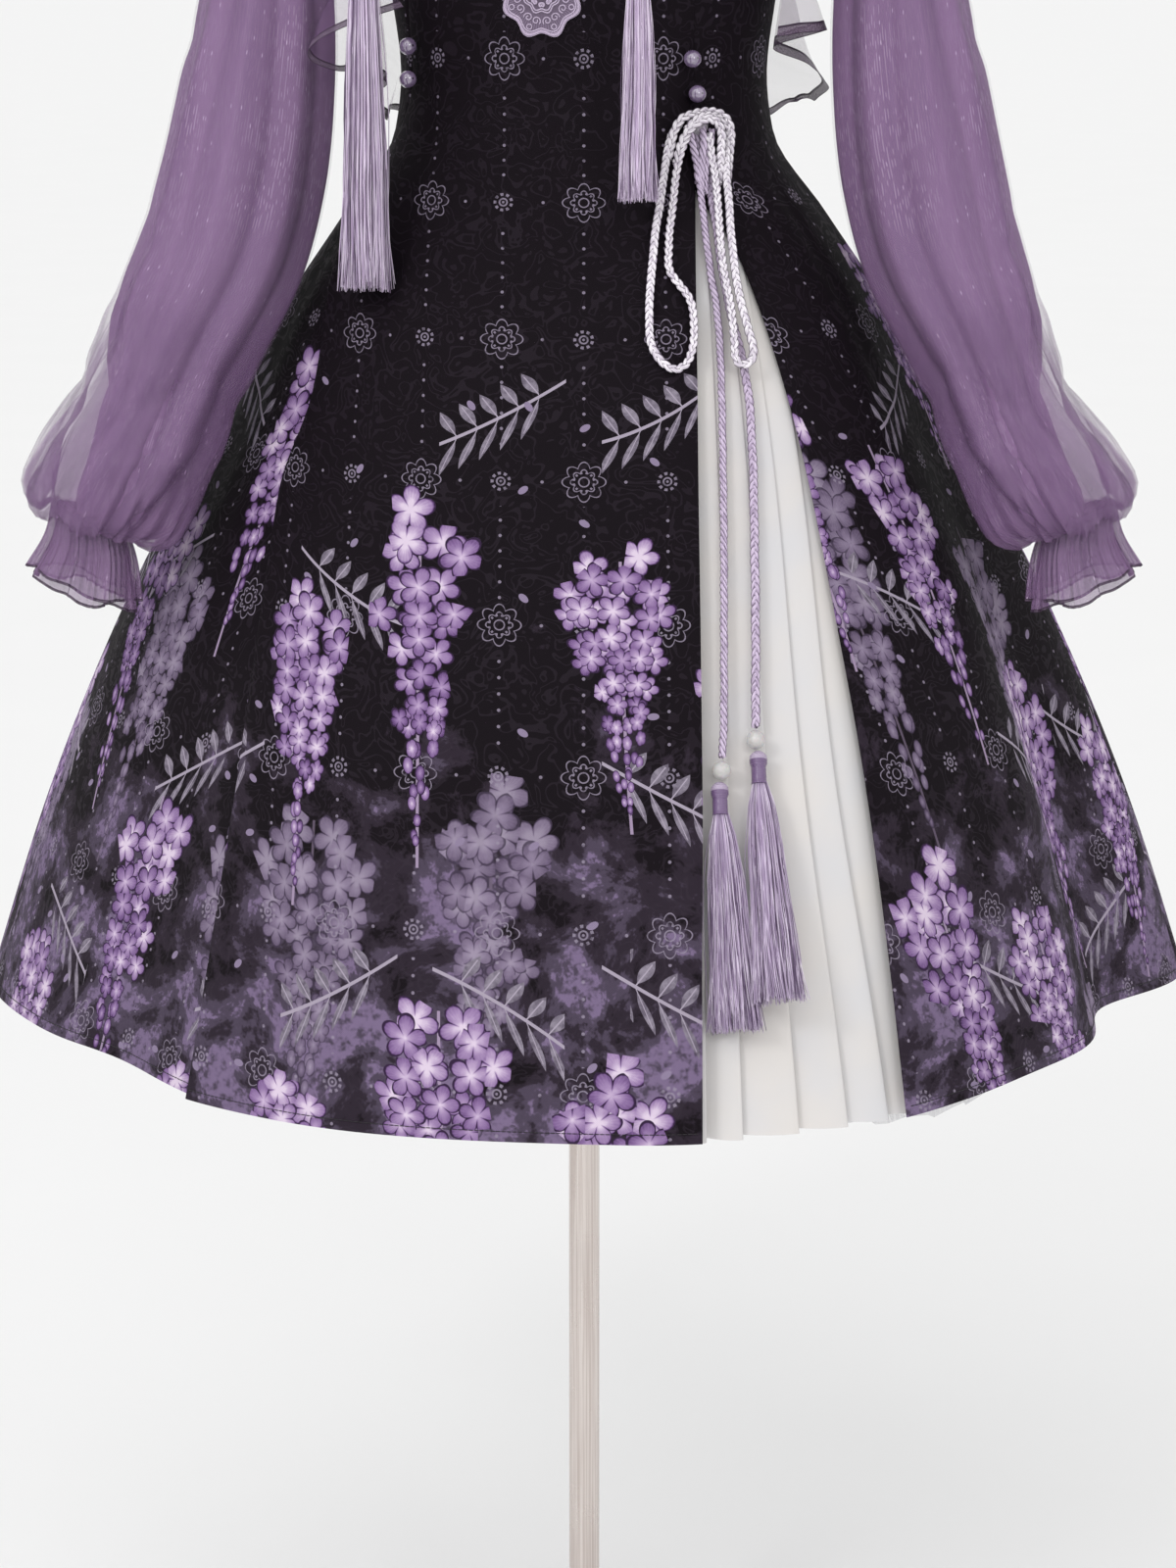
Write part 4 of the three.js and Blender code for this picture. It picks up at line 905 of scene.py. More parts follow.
def cuff_parts():
    """Two fluted layers, the inner one a little longer: radius + wave * cos of the flutes."""
    turn = np.linspace(0, 360, CUFF_COLUMNS)
    t = np.radians(turn)
    parts = []
    for inner in (0, 1):
        rows = {key: value.copy() for key, value in CUFF.items()}
        rows["across"] = rows["deep"] = np.ones(3)
        unit_rings = ring(rows, turn)
        centre = np.stack([rows["x"], rows["y"], WAIST + rows["z"]], -1)[:, None]
        flutes = 0.7 * np.cos(6 * t + 0.35 * np.sin(2 * t) + 2.3 * inner)
        flutes = flutes + 0.2 * np.cos(13 * t + 1.1 + inner)
        radius = rows["radius"][:, None] - 1.5 * inner * np.array([[1.5], [2], [1]])
        radius = radius + rows["wave"][:, None] * flutes
        rings = centre + (unit_rings - centre) * radius[..., None]
        rings[-1, :, 2] += -5.5 * inner + 1.6 * np.cos(3 * t + 0.8 + inner) + 0.9 * np.cos(7 * t)
        points = curve_through(rings, CUFF_STEP)
        share = np.linspace(0, 1, len(points))[:, None]
        crinkle = (np.sin(41 * t + 1.5 * np.sin(5 * t)) + 0.7 * np.sin(67 * t + 2))[None]
        points, out = moved(points, crinkle * 0.45 * (0.5 + share))
        parts.append((points, out, tube_map(points, 240, down=False)))
    return parts


# -------- cords
def braid(sewing, path, radius, pitch, plait):
    """Three strands about a path; returns its length. Plaited, each strand is at (a sin w,
    b sin 2w); twisted, it is at (c cos w, c sin w), where w grows by a turn each pitch and a third
    of a turn separates them."""
    way = way_along(path)
    across, beside = (d[0] for d in frames_along(path[None], np.array([0.0, -1.0, 0.2])))
    w = 2 * np.pi * (way / pitch + np.arange(3)[:, None] / 3)
    if plait:
        wide, deep, thick = 0.62 * radius * np.sin(w), 0.42 * radius * np.sin(2 * w), 0.52 * radius
    else:
        wide, deep, thick = 0.52 * radius * np.cos(w), 0.52 * radius * np.sin(w), 0.5 * radius
    thick = thick * (1 + 0.14 * np.sin(way / 4.3 + 2.1 * np.arange(3)[:, None]))
    strands = path + wide[..., None] * beside + deep[..., None] * across
    tubes(sewing, strands, thick, STRAND_SIDES)
    return way[-1]


def cord_piece(name, route, finish, pitch, radius=CORD_R, plait=True):
    """A braided cord along its route."""
    path = curve_through(route, CORD_STEP)
    sewing = Sewing()
    length = braid(sewing, path, radius, pitch, plait)
    piece = show(name, sewing, finish)


# Turns of cord round the knot: routes as in CORDS, each with its cord's radius, and whether it
# lies over the others.
KNOT_TURNS = (
    (((48.5, -52, 7.5), (49.5, -44, 9.5), (50.5, -35, 11), (54, -27.5, 13), (60, -24.5, 14.5),
      (67, -23.5, 15.5), (73.5, -25, 15.5), (78.5, -30, 15), (81, -39, 14), (82, -49, 12),
      (82.5, -60, 9.5), (83, -68, 7)), 2.6, True),
    (((52.5, -56, 10), (54, -46, 12), (56.5, -37, 14), (60.5, -31, 16.5), (66, -28.5, 18.5),
      (71, -31, 18.5), (74, -38, 17), (75.5, -47, 15), (77, -58, 12), (78, -68, 8)), 2.6, True),
    (((56, -34, 14), (61, -28, 17), (67, -26, 18), (72, -27.5, 17.5), (77, -34, 15)), 2.1, True),
    (((59, -31, 10), (60, -40, 11), (62.5, -50, 11), (65, -58, 9.5), (66.5, -66, 7)), 2.6, False),
    (((66, -32, 11), (66.5, -43, 12.5), (66.8, -53, 11), (67.5, -63, 8.5), (68.5, -71, 6)), 2.6, False),
    (((71, -34, 12), (71, -44, 12), (70, -54, 10.5), (70, -64, 8), (71, -72, 6)), 2.2, False),
)


def route_on_front(rows):
    x, z, lift = np.array(rows, float).T
    return on_front(x, z, lift)


THREAD_R = 0.3


def fringe(name, start, end, radii, flatten, count, seed, finish, loose):
    """Threads that hang from a neck: each keeps its own place in the bundle, (r cos t, flatten r
    sin t), while the bundle's radius grows by its table. Threads of one lock wave alike, tips fray
    outwards by share^6, and the last few threads bow out of the bundle by sin(pi share)."""
    rng = np.random.default_rng(seed)
    start, end = np.asarray(start, float), np.asarray(end, float)
    way = unit(end - start)
    side = unit(np.cross(way, (0.0, 1.0, 0.0)))
    front = np.cross(side, way)
    k = np.arange(count)
    turn = k * 2.39996 + rng.uniform(-0.3, 0.3, count)
    lock = turn + 0.25 * np.sin(5 * turn + seed)
    grooves = np.abs(np.sin(6.5 * lock + seed)) ** 4 + 0.7 * np.abs(np.sin(14.5 * lock + 2 * seed)) ** 4
    reach = np.sqrt((k + 0.5) / count) ** 0.6 * (1 - 0.17 * grooves)
    steps = np.linspace(0, 1, THREAD_STEPS)
    length = 1 - 0.05 * rng.random(count) ** 2 - 0.05 * (1 - reach) - 0.06 * (rng.random(count) > 0.93)
    t = steps[None] * length[:, None]
    share, size = np.array(radii, float).T
    r = np.interp(t, share, size) * reach[:, None]
    phase = 3 * np.sin(2 * lock + seed)[:, None] + 2.2 * np.sin(7 * lock)[:, None]
    calm = rng.uniform(0.6, 1.5, (count, 1))
    wave = t**0.9 * (0.75 * np.sin(9 * t + phase) + 0.35 * np.sin(21 * t * calm + 2 * phase))
    fray = t**6 * rng.normal(0, 1.1, (count, 1))
    bow = np.where(k >= count - loose, rng.uniform(1.5, 5, count), 0)[:, None] * np.sin(np.pi * t) ** 1.3
    out = r + bow + np.abs(fray) * 0.5
    centres = (
        start
        + (end - start) * t[..., None]
        + ((out * np.cos(turn)[:, None] + wave + fray)[..., None]) * side
        + ((flatten * (out * np.sin(turn)[:, None] + 0.6 * wave))[..., None]) * front
    )
    thin = THREAD_R * np.where(reach < 0.5, 2.2, 1.0)[:, None] * np.ones_like(t)
    thin[:, -1] = 0.6 * THREAD_R
    sewing = Sewing()
    tubes(sewing, centres, thin, THREAD_SIDES)
    show(name, sewing, finish)


HEAD = ((0, 2.2), (0.05, 3.6), (0.14, 4.9), (0.24, HEAD_R), (0.36, 5.1), (0.45, 4.5), (0.5, 4.25),
        (0.56, 4.4), (0.9, 4.45), (1, 4.6))


def head_piece(name, start, end):
    """A tassel's head: a soft bulb of thread above a tight winding."""
    return show(name, wound(start, end, HEAD), "satin_winding")


def bead_piece(name, centre, radius, finish):
    return show(name, ball(centre, radius, radius, radius, 40, 25), finish)


# -------- shader maths
class Value:
    """A socket with the sums of shader maths: each operator adds the Math node it stands for."""

    def __init__(self, nodes, socket):
        self.nodes, self.socket = nodes, socket

    def math(self, operation, *others):
        return self.nodes.node("ShaderNodeMath", {"operation": operation}, [self, *others])

    def reflected(self, operation, first):
        return self.nodes.node("ShaderNodeMath", {"operation": operation}, [first, self])

    __add__ = __radd__ = partialmethod(math, "ADD")
    __mul__ = __rmul__ = partialmethod(math, "MULTIPLY")
    __sub__ = partialmethod(math, "SUBTRACT")
    __rsub__ = partialmethod(reflected, "SUBTRACT")
    __truediv__ = partialmethod(math, "DIVIDE")
    __rtruediv__ = partialmethod(reflected, "DIVIDE")
    sine = partialmethod(math, "SINE")
    cosine = partialmethod(math, "COSINE")
    size = partialmethod(math, "ABSOLUTE")
    floor = partialmethod(math, "FLOOR")
    fraction = partialmethod(math, "FRACT")
    least = partialmethod(math, "MINIMUM")
    most = partialmethod(math, "MAXIMUM")
    over = partialmethod(math, "GREATER_THAN")
    under = partialmethod(math, "LESS_THAN")

    def wave(self, pitch):
        """A sine that repeats every pitch."""
        return (self * (2 * math.pi / pitch)).sine()

    def off_middle(self):
        """How far a value lies from the middle of its own whole step, 0 to 0.5."""
        return (self.fraction() - 0.5).size()

    def step(self, low, high, start=0.0, end=1.0):
        """start at low, end at high, smooth between, and held beyond both."""
        settings = {"interpolation_type": "SMOOTHSTEP", "clamp": True}
        return self.nodes.node("ShaderNodeMapRange", settings, [self, low, high, start, end])


class Nodes:
    """The nodes of one material. Any node comes from node(): its type, its settings, which are set
    first, and the values or links of its sockets by order or by name."""

    def __init__(self, name):
        self.material = bpy.data.materials.new(name)
        self.material.use_nodes = True
        self.tree = self.material.node_tree
        self.tree.nodes.clear()
        self.output = self.tree.nodes.new("ShaderNodeOutputMaterial")

    def feed(self, socket, value):
        """Links a socket or sets it. A colour of three numbers is opaque."""
        if isinstance(value, Value):
            self.tree.links.new(value.socket, socket)
        elif socket.type == "RGBA" and len(value) == 3:
            socket.default_value = (*value, 1)
        else:
            socket.default_value = value

    def node(self, kind, settings=None, sockets=(), out=0):
        made = self.tree.nodes.new(kind)
        for key, value in (settings or {}).items():
            if key == "stops":
                self.stops(made.color_ramp, value)
            else:
                setattr(made, key, value)
        pairs = sockets.items() if isinstance(sockets, dict) else enumerate(sockets)
        for key, value in pairs:
            self.feed(made.inputs[key], value)
        outputs = [s for s in made.outputs if s.enabled]
        chosen = made.outputs[out] if isinstance(out, str) else outputs[out]
        return Value(self, chosen)

    def stops(self, ramp, stops):
        while len(ramp.elements) > 1:
            ramp.elements.remove(ramp.elements[0])
        for i, (place, colour) in enumerate(stops):
            element = ramp.elements[0] if i == 0 else ramp.elements.new(place)
            element.position = place
            element.color = (*colour, 1)

    def cloth_map(self):
        """Across and down the piece's own flat cut, in millimetres."""
        place = self.node("ShaderNodeUVMap", {"uv_map": "Cloth"})
        return self.split(place)[:2], place

    def object_place(self):
        return self.node("ShaderNodeTexCoord", out="Object")

    def split(self, vector):
        made = self.tree.nodes.new("ShaderNodeSeparateXYZ")
        self.feed(made.inputs[0], vector)
        return [Value(self, s) for s in made.outputs]

    def point(self, x, y, z=0.0):
        return self.node("ShaderNodeCombineXYZ", None, [x, y, z])

    def vector_math(self, operation, a, b):
        return self.node("ShaderNodeVectorMath", {"operation": operation}, [a, b])

    def noise(self, vector, scale, detail, rough=0.5, distortion=0.0):
        return self.node(
            "ShaderNodeTexNoise",
            {"noise_dimensions": "3D"},
            {"Vector": vector, "Scale": scale, "Detail": detail, "Roughness": rough,
             "Distortion": distortion},
        )

    def random(self, vector):
        """A number and a colour of chance for each whole place."""
        made = self.tree.nodes.new("ShaderNodeTexWhiteNoise")
        made.noise_dimensions = "3D"
        self.feed(made.inputs["Vector"], vector)
        return Value(self, made.outputs["Value"]), self.split(Value(self, made.outputs["Color"]))

    def mix(self, share, a, b):
        """Colour a where share is 0 and b where it is 1."""
        made = self.tree.nodes.new("ShaderNodeMix")
        made.data_type = "RGBA"
        for socket, value in zip([s for s in made.inputs if s.enabled], (share, a, b)):
            self.feed(socket, value)
        return Value(self, [s for s in made.outputs if s.enabled][0])

    def layered(self, ground, *layers):
        """Colours laid over a ground one after another, each where its mask is 1."""
        for mask, colour in layers:
            ground = self.mix(mask, ground, colour)
        return ground

    def bump(self, height, distance, strength):
        return self.node(
            "ShaderNodeBump", None, {"Height": height, "Distance": distance, "Strength": strength},
            out="Normal",
        )

    def shade(self, **sockets):
        """The finished surface: names of the shader's sockets with _ for a space."""
        shader = self.tree.nodes.new("ShaderNodeBsdfPrincipled")
        for key, value in sockets.items():
            self.feed(shader.inputs[key.replace("_", " ")], value)
        self.tree.links.new(shader.outputs[0], self.output.inputs["Surface"])
        return self.material


def linear(red, green, blue):
    """A colour of 0 to 255 as the shader takes it."""
    return tuple(
        c / 12.92 if c <= 0.04045 else ((c + 0.055) / 1.055) ** 2.4
        for c in (red / 255, green / 255, blue / 255)
    )


# -------- materials
def twill(across, down, pitch):
    """Fine diagonal ribs of the weave, 0 to 1."""
    return (across + down).wave(pitch) * 0.5 + 0.5


PURPLES = (
    (0.0, linear(208, 192, 211)),
    (0.14, linear(182, 161, 191)),
    (0.34, linear(154, 129, 168)),
    (0.62, linear(124, 96, 142)),
    (0.86, linear(90, 64, 108)),
    (1.0, linear(48, 32, 58)),
)
MUTED = (
    (0.0, linear(150, 138, 158)),
    (0.3, linear(128, 114, 138)),
    (0.7, linear(100, 86, 110)),
    (1.0, linear(60, 50, 68)),
)
SHRINK = 0.0875  # how fast blossoms get smaller down a spray
TAPER = 1.43  # a spray's blossoms would vanish at this many times its length


def cells(n, place, randomness):
    """Cells scattered over a plane: the middle of the nearest one, and its three numbers of chance."""
    settings = {"voronoi_dimensions": "2D"}
    sockets = {"Vector": place, "Scale": 1.0, "Randomness": randomness}
    middle, chance = (
        n.node("ShaderNodeTexVoronoi", settings, sockets, out=out) for out in ("Position", "Color")
    )
    return middle, n.split(chance)


def blossoms(n, place, shift, size, chance, stops, half_width, rough):
    """Blossoms packed at chance along one spray. place is across and down in blossom sizes, shift
    moves the packing, size is a blossom's size in millimetres where the spray begins. A blossom
    has five petals of radius 0.62 (1 - 1.9 f^2), f going from -1/2 to 1/2 over each petal, and past
    two thirds of the spray it is a closed bud."""
    moved_place = n.vector_math("ADD", place, shift)
    centre, (tone, spin, _) = cells(n, moved_place, 0.62)
    px, py, _ = n.split(n.vector_math("SUBTRACT", centre, shift))
    left = (py * -SHRINK).math("EXPONENT")
    t = (1 - left) * TAPER
    wide = half_width * (1.04 - t) * t.step(-0.02, 0.16, 0.45, 1)
    inside = (px.size() * left * size).under(wide)
    present = inside * t.over(tone * 0.1 - 0.02) * t.under(1.0) * chance
    dx, dy, _ = n.split(n.vector_math("SUBTRACT", moved_place, centre))
    bud = t.step(0.5, 0.8)
    dx = dx * (1 + bud * 0.7)
    turn = dy.math("ARCTAN2", dx) + spin * 6.28
    f = (turn * (5 / (2 * math.pi))).fraction() - 0.5
    reach = 0.64 - f * f * (1.15 - bud * 1.15) - bud * 0.2
    far = (dx * dx + dy * dy).math("SQRT") / reach
    veins = (f * 44 + tone * 9).sine() * 0.04
    crease = f.size().step(0.4, 0.5) * far.step(0.1, 0.5) * 0.5 * (1 - bud)
    shade = far * 0.74 + veins + crease + (tone - 0.5) * 0.4 + (rough - 0.5) * 0.6
    shade = shade + (t - 0.35) * 0.3 + far.step(0.84, 0.97) * 0.55
    colour = n.node("ShaderNodeValToRGB", {"stops": stops}, [shade], out="Color")
    return present * far.under(1.0), colour


def sprays(n, u, v, cell, long, seed, share, stops, half_width, rough):
    """Hanging sprays, at most one in each cell of the cloth, at a place and of a length that chance
    gives: across a spray x / (k (Y - y)) and down it -ln(1 - y / Y) / k count blossom sizes.
    Returns a mask and colour of each of its two layers of blossoms and the mask of its stem."""
    across, down = cell
    i = (u / across + 0.41 * seed).floor()
    lift, _ = n.random(n.point(i, seed + 3.5))
    way = v / down + lift
    j = way.floor()
    chance, (r1, r2, r3) = n.random(n.point(i, j, seed))
    x = (u / across + 0.41 * seed - i - 0.5 + (r1 - 0.5) * 0.4) * across
    y = (way - j) * down - 24
    whole = (r2 * 0.35 + 0.75) * (long * TAPER)
    a = (y / whole).least(0.93).most(-0.2)
    x = x + (r3 - 0.5) * 90 * a * a
    left = 1 - a
    p = x / (left * whole * SHRINK)
    q = left.math("LOGARITHM", math.e) * (-1 / SHRINK)
    here = chance.under(share) * (v - y).over(60 + 15 * seed)
    place = n.point(p, q)
    size = whole * SHRINK
    back = blossoms(n, place, n.point(i * 7.3, j * 3.7 + 0.5), size, here, stops, half_width, rough)
    front = blossoms(n, place, n.point(i * 5.1 + 0.5, j * 9.3), size, here, stops, half_width * 0.8, rough)
    stem = here * x.size().under(0.9) * a.under(0.74) * y.over(3.0)
    return back, front, stem


def twigs(n, u, v, cell, seed, share):
    """Arching twigs with pairs of leaflets: along a parabola, a leaflet leaves on each side every
    13 mm, slants forward, and is 3.4 sin(pi (d - 2) / 20) mm wide at d mm from the twig."""
    across, down = cell
    i, j = (u / across + 0.2 * seed).floor(), (v / down + 0.63).floor()
    chance, (r1, r2, r3) = n.random(n.point(i, j, seed))
    x = (u / across + 0.2 * seed - i - 0.5) * across * (r3.over(0.5) * 2 - 1)
    y = (v / down + 0.63 - j - 0.5) * down
    bow = (r1 - 0.3) * 0.012
    off = y - x * 0.55 - x * x * bow
    here = chance.under(share) * x.size().under(38.0) * (v - y).over(150.0)
    d = off.size()
    along = (x - d * 0.55 + r2 * 9) / 12.5
    slot = along.off_middle() * 12.5
    wide = ((d - 2) * (math.pi / 19)).sine() * 3.3
    leaf = here * slot.under(wide) * d.over(2.0) * d.under(21.0) * x.over(-22.0)
    rib = here * slot.under(0.35) * d.under(18.0) * x.over(-22.0)
    return leaf, (here * d.under(1.1)).most(rib)


def ring_of(far, turn, radius, wide, count, gap):
    """A ring of round dots, or of dashes, about a centre."""
    mark = (turn * count / (2 * math.pi)).off_middle()
    return (far - radius).size().under(wide) * mark.under(gap)


def lattice(u, v):
    """Dotted lines across and down the cloth with small rosettes where they cross and large
    line-drawn ones between: masks from distance and turn about each crossing."""
    cell_u, cell_v = 49.0, 91.0  # millimetres between crossings
    i, j = (u / cell_u + 0.5).floor(), (v / cell_v + 0.62).floor()
    x = u - i * cell_u
    y = (v / cell_v + 0.62 - j - 0.5) * cell_v
    large = ((i + j) * 0.5).fraction().over(0.25)
    far = (x * x + y * y).math("SQRT")
    turn = y.math("ARCTAN2", x)
    small = ring_of(far, turn, 2.4, 0.5, 8, 0.6)
    small = small.most(ring_of(far, turn, 5.2, 0.9, 9, 0.26))
    small = small.most(far.under(0.8))
    petals = 9.2 + (turn * 4).cosine().size() * 3.6
    big = (far - petals).size().under(0.42)
    big = big.most((far - petals * 0.62).size().under(0.4))
    big = big.most(ring_of(far, turn, 3.0, 0.4, 1, 0.6))
    big = big.most(ring_of(far, turn, 6.0, 0.7, 12, 0.2))
    rosettes = small * (1 - large) + big * large
    step = cell_u / 5  # between dots
    along = ((u / step).fraction() - 0.5) * step
    below = ((v / step + 0.2).fraction() - 0.5) * step
    dots = (along * along + y * y).under(1.0).most((below * below + x * x).under(1.0))
    return rosettes.most(dots * far.over(16.0))


def petals_adrift(n, u, v):
    """Small loose petals: one slanted oval of 7 by 4 mm in each cell where chance puts it."""
    wide, high = 37, 43  # millimetres of a cell
    place = n.point(u / wide, v / high)
    centre, (chance, tilt, _) = cells(n, place, 1.0)
    dx, dy, _ = n.split(n.vector_math("SUBTRACT", place, centre))
    dx, dy = dx * wide, dy * high
    slant = (tilt - 0.5) * 3
    a, b = dx + dy * slant, dy - dx * slant
    long = 1 + slant * slant
    return ((a * a) / 12 + (b * b) / 4.2).under(long) * chance.under(0.3) * v.over(150.0)


def printed_cotton():
    """Black satin with a printed garden: soft clouds towards the hem, muted sprays, a dotted
    lattice, twigs, loose petals and hanging sprays of five-petalled blossoms."""
    n = Nodes("Printed cotton")
    (u, v), place = n.cloth_map()
    rough = n.noise(place, 0.16, 4.0, 0.65)
    weave = twill(u, v, 1.1)
    damask = (n.noise(place, 0.055, 1.0, 0.4, 1.6) * 5).off_middle().under(0.13)
    cloud = n.noise(place, 0.019, 7.0, 0.66, 0.3)
    cloud = cloud + v.step(230, 600, -0.3, 0.075)
    muted_back, muted_front, muted_stem = sprays(
        n, u, v, (131.0, 300.0), 215.0, 2.0, 0.72, MUTED, 40.0, rough
    )
    back, front, stem = sprays(n, u, v, (92.0, 296.0), 205.0, 1.0, 0.93, PURPLES, 37.0, rough)
    leaf, twig = twigs(n, u, v, (97.0, 118.0), 5.0, 0.5)
    canvas = u.wave(1.3) * v.wave(1.3)
    ground = n.layered(
        n.mix(damask, linear(17, 11, 17), linear(27, 20, 28)),
        (cloud.step(0.44, 0.5) * 0.6, linear(52, 43, 55)),
        (cloud.step(0.53, 0.57) * 0.7, linear(80, 70, 88)),
        (cloud.step(0.59, 0.62) * 0.85 * rough.step(0.35, 0.55), linear(120, 103, 134)),
        (muted_stem * 0.6, linear(110, 96, 116)),
        (muted_back[0] * 0.85, muted_back[1]),
        (muted_front[0] * 0.85, muted_front[1]),
        (lattice(u, v) * rough.step(0.3, 0.5, 0.25, 0.75), linear(140, 130, 148)),
        (leaf, n.mix(rough.step(0.3, 0.7), linear(92, 84, 98), linear(138, 130, 144))),
        (twig, linear(158, 148, 164)),
        (petals_adrift(n, u, v), linear(132, 118, 144)),
        (stem, linear(150, 132, 158)),
        back,
        front,
        (canvas.step(-0.2, 0.9) * 0.18, linear(14, 11, 15)),
    )
    return n.shade(Base_Color=ground, Roughness=0.8 - damask * 0.14, Specular_IOR_Level=0.1,
                   Normal=n.bump(weave * 0.5 + canvas * 0.3 + damask * 0.7, 0.00018, 0.5))


def white_cotton():
    """Matt white cotton: plain weave, faint warm and cool patches."""
    n = Nodes("White cotton")
    (u, v), place = n.cloth_map()
    weave = u.wave(0.5) * v.wave(0.5)
    patches = n.noise(place, 0.012, 3.0).step(0.35, 0.7)
    colour = n.mix(patches, linear(209, 205, 202), linear(203, 202, 204))
    return n.shade(Base_Color=colour, Roughness=0.88, Specular_IOR_Level=0.3,
                   Normal=n.bump(weave, 0.00005, 0.3))


def white_net():
    """Net: threads down the cloth every 1.6 mm, broken slanting ones across, and holes between."""
    n = Nodes("White net")
    (u, v), _ = n.cloth_map()
    cell = (u / 1.6).floor()
    down = (u / 1.6).off_middle().under(0.13)
    across = (v / 1.9 + (cell * 0.5).fraction()).off_middle().under(0.1)
    alpha = down.most(across) * 0.62 + 0.12
    return n.shade(Base_Color=linear(236, 235, 238), Roughness=0.7, Alpha=alpha)


OUTER_SIDE = 222  # millimetres round a sleeve to its outer side
GATHERED_FROM = 455  # millimetres along it to where it is gathered over the wrist
GATHERED_TO = 535


def chiffon(name, alpha, hem=0.0, shimmer=0.0, line_width=0.7, gathered=0.0, top=(0.0, 0.0, 1.0)):
    """Sheer chiffon: painted glints on short lengths of lengthwise threads, 1.7 mm apart, and a few painted
    sparks.
    Where a hem's width is given, a speckled band with a dark line above it. gathered is how much
    denser a sleeve's cloth is over the wrist, where it lies in folds, less so at its outer side.
    top is how much denser the cloth is at its upper edge, and the way over which that fades."""
    n = Nodes(name)
    (u, v), place = n.cloth_map()
    streak = n.noise(n.point(u * 0.06, v * 0.004), 1.0, 3.0, 0.55)
    settings = bpy.context.scene.dress_set
    colour = n.mix(streak.step(0.3, 0.7), settings.sheer_deep[:], settings.sheer_pale[:])
    sheer = alpha + (streak - 0.5) * 0.06
    if top[0]:
        sheer = sheer + v.step(top[1], top[2], 1, 0) * top[0]
    if gathered:
        folds = n.noise(n.point(u * 0.075, v * 0.007, 7.0), 1.0, 2.0, 0.5, 0.6)
        inner = (u - OUTER_SIDE).size().step(24, 62)
        low = v.step(GATHERED_FROM, GATHERED_TO)
        sheer = sheer + folds.step(0.5, 0.6) * (1 - inner) * 0.05
        sheer = sheer + low * gathered * (inner * 0.65 + 0.2 + folds.step(0.42, 0.54) * (1 - inner) * 0.5)
    if shimmer:
        row = (u / 1.7).floor()
        thread = (u / 1.7).off_middle().step(0.05, 0.22, 1, 0)
        dash = n.noise(n.point(row * 7.7, v * 0.11), 1.0, 1.0).step(0.5, 0.56)
        zone = n.noise(n.point(u * 0.02, v * 0.01, 3.0), 1.0, 2.0).step(0.44, 0.6)
        spark, _ = n.random(n.point(row, (v / 2.4).floor()))
        # painted highlight: glints on short lengths of the threads, in patches, and rare sparks
        shine = thread * (dash * (zone * 0.24 + 0.1) + spark.over(0.99) * 0.6) * shimmer
        colour = n.mix(shine, colour, (0.66, 0.53, 0.7))
        sheer = sheer + shine * 0.1
    if hem:
        speckle = n.noise(place, 1.4, 2.0).step(0.42, 0.6)
        band = v.under(hem)
        line = (v - hem).size().under(line_width).most(v.under(0.5))
        colour = n.mix(band, colour, n.mix(speckle, (0.11, 0.072, 0.12), (0.25, 0.19, 0.265)))
        colour = n.mix(line, colour, (0.05, 0.03, 0.056))
        sheer = sheer.most(band * 0.66).most(line * 0.85)
    return n.shade(Base_Color=colour, Roughness=0.5, Alpha=sheer, Specular_IOR_Level=0.2)


def thread_map(n):
    """Number of the thread, share of its turn, and the way along it in millimetres."""
    (u, v), _ = n.cloth_map()
    number = (u * 0.5).floor()
    return number, u - number * 2, v


def satin_thread(name, dark, light):
    """Lavender silk: each thread has its own tone, with painted glints in slow patches along it, and
    about one thread in six painted dark as shade in the gaps between locks.
    """
    n = Nodes(name)
    number, _, way = thread_map(n)
    tone, _ = n.random(n.point(number, 1.5))
    glint = n.noise(n.point(number * 3.1, way * 0.05), 1.0, 1.0)
    colour = n.mix(tone, dark, light)
    # painted highlight: pale glints in slow patches along each thread
    colour = n.mix(glint.step(0.45, 0.7) * 0.7, colour, linear(246, 238, 250))
    # painted shade: about one thread in six darkened to stand for the shadowed gaps between locks
    colour = n.mix(tone.under(0.16) * 0.75, colour, linear(76, 58, 86))
    return n.shade(Base_Color=colour, Roughness=0.34)


def satin_winding():
    """Tight satin winding: rows of thread round the head, paler on the bulb above."""
    n = Nodes("Satin winding")
    (u, v), _ = n.cloth_map()
    rows = v.wave(0.55) * 0.5 + 0.5
    upright = u.wave(0.7) * 0.5 + 0.5
    wound = v.step(8.4, 9.2)
    pale = n.mix(upright, linear(140, 118, 152), linear(204, 190, 212))
    tight = n.mix(rows, linear(88, 64, 102), linear(126, 100, 142))
    height = rows * wound + upright * (1 - wound)
    return n.shade(Base_Color=n.mix(wound, pale, tight), Roughness=0.26, Coat_Weight=0.7,
                   Coat_Roughness=0.16, Normal=n.bump(height, 0.0002, 0.6))


def cord_silk(name, light, dark):
    """Braided silk: fine threads slant round each strand, and tones change from thread to thread.
    Painted shade darkens both sides of each strand and, in part, the grooves between the fine threads.
    """
    n = Nodes(name)
    number, turn, way = thread_map(n)
    fine = turn * 7 + way / 2.6
    line = fine.off_middle() * 2
    tone, _ = n.random(n.point(fine.floor(), number))
    colour = n.mix(tone.step(0.45, 1.0) * 0.5, light, dark)
    # the lines between the fine threads are darker: partly the yarns' own lilac, partly painted shade in the
    # grooves of the bump
    colour = n.mix(line.step(0.6, 1.0) * 0.35, colour, dark)
    # painted shade: both sides of each strand darkened where it turns away between its neighbours
    painted_side_shade = turn.wave(1).size().step(0.62, 0.94)
    colour = n.mix(painted_side_shade * 0.92, colour, linear(62, 46, 68))
    return n.shade(Base_Color=colour, Roughness=0.4, Normal=n.bump(1 - line, 0.0003, 0.5))


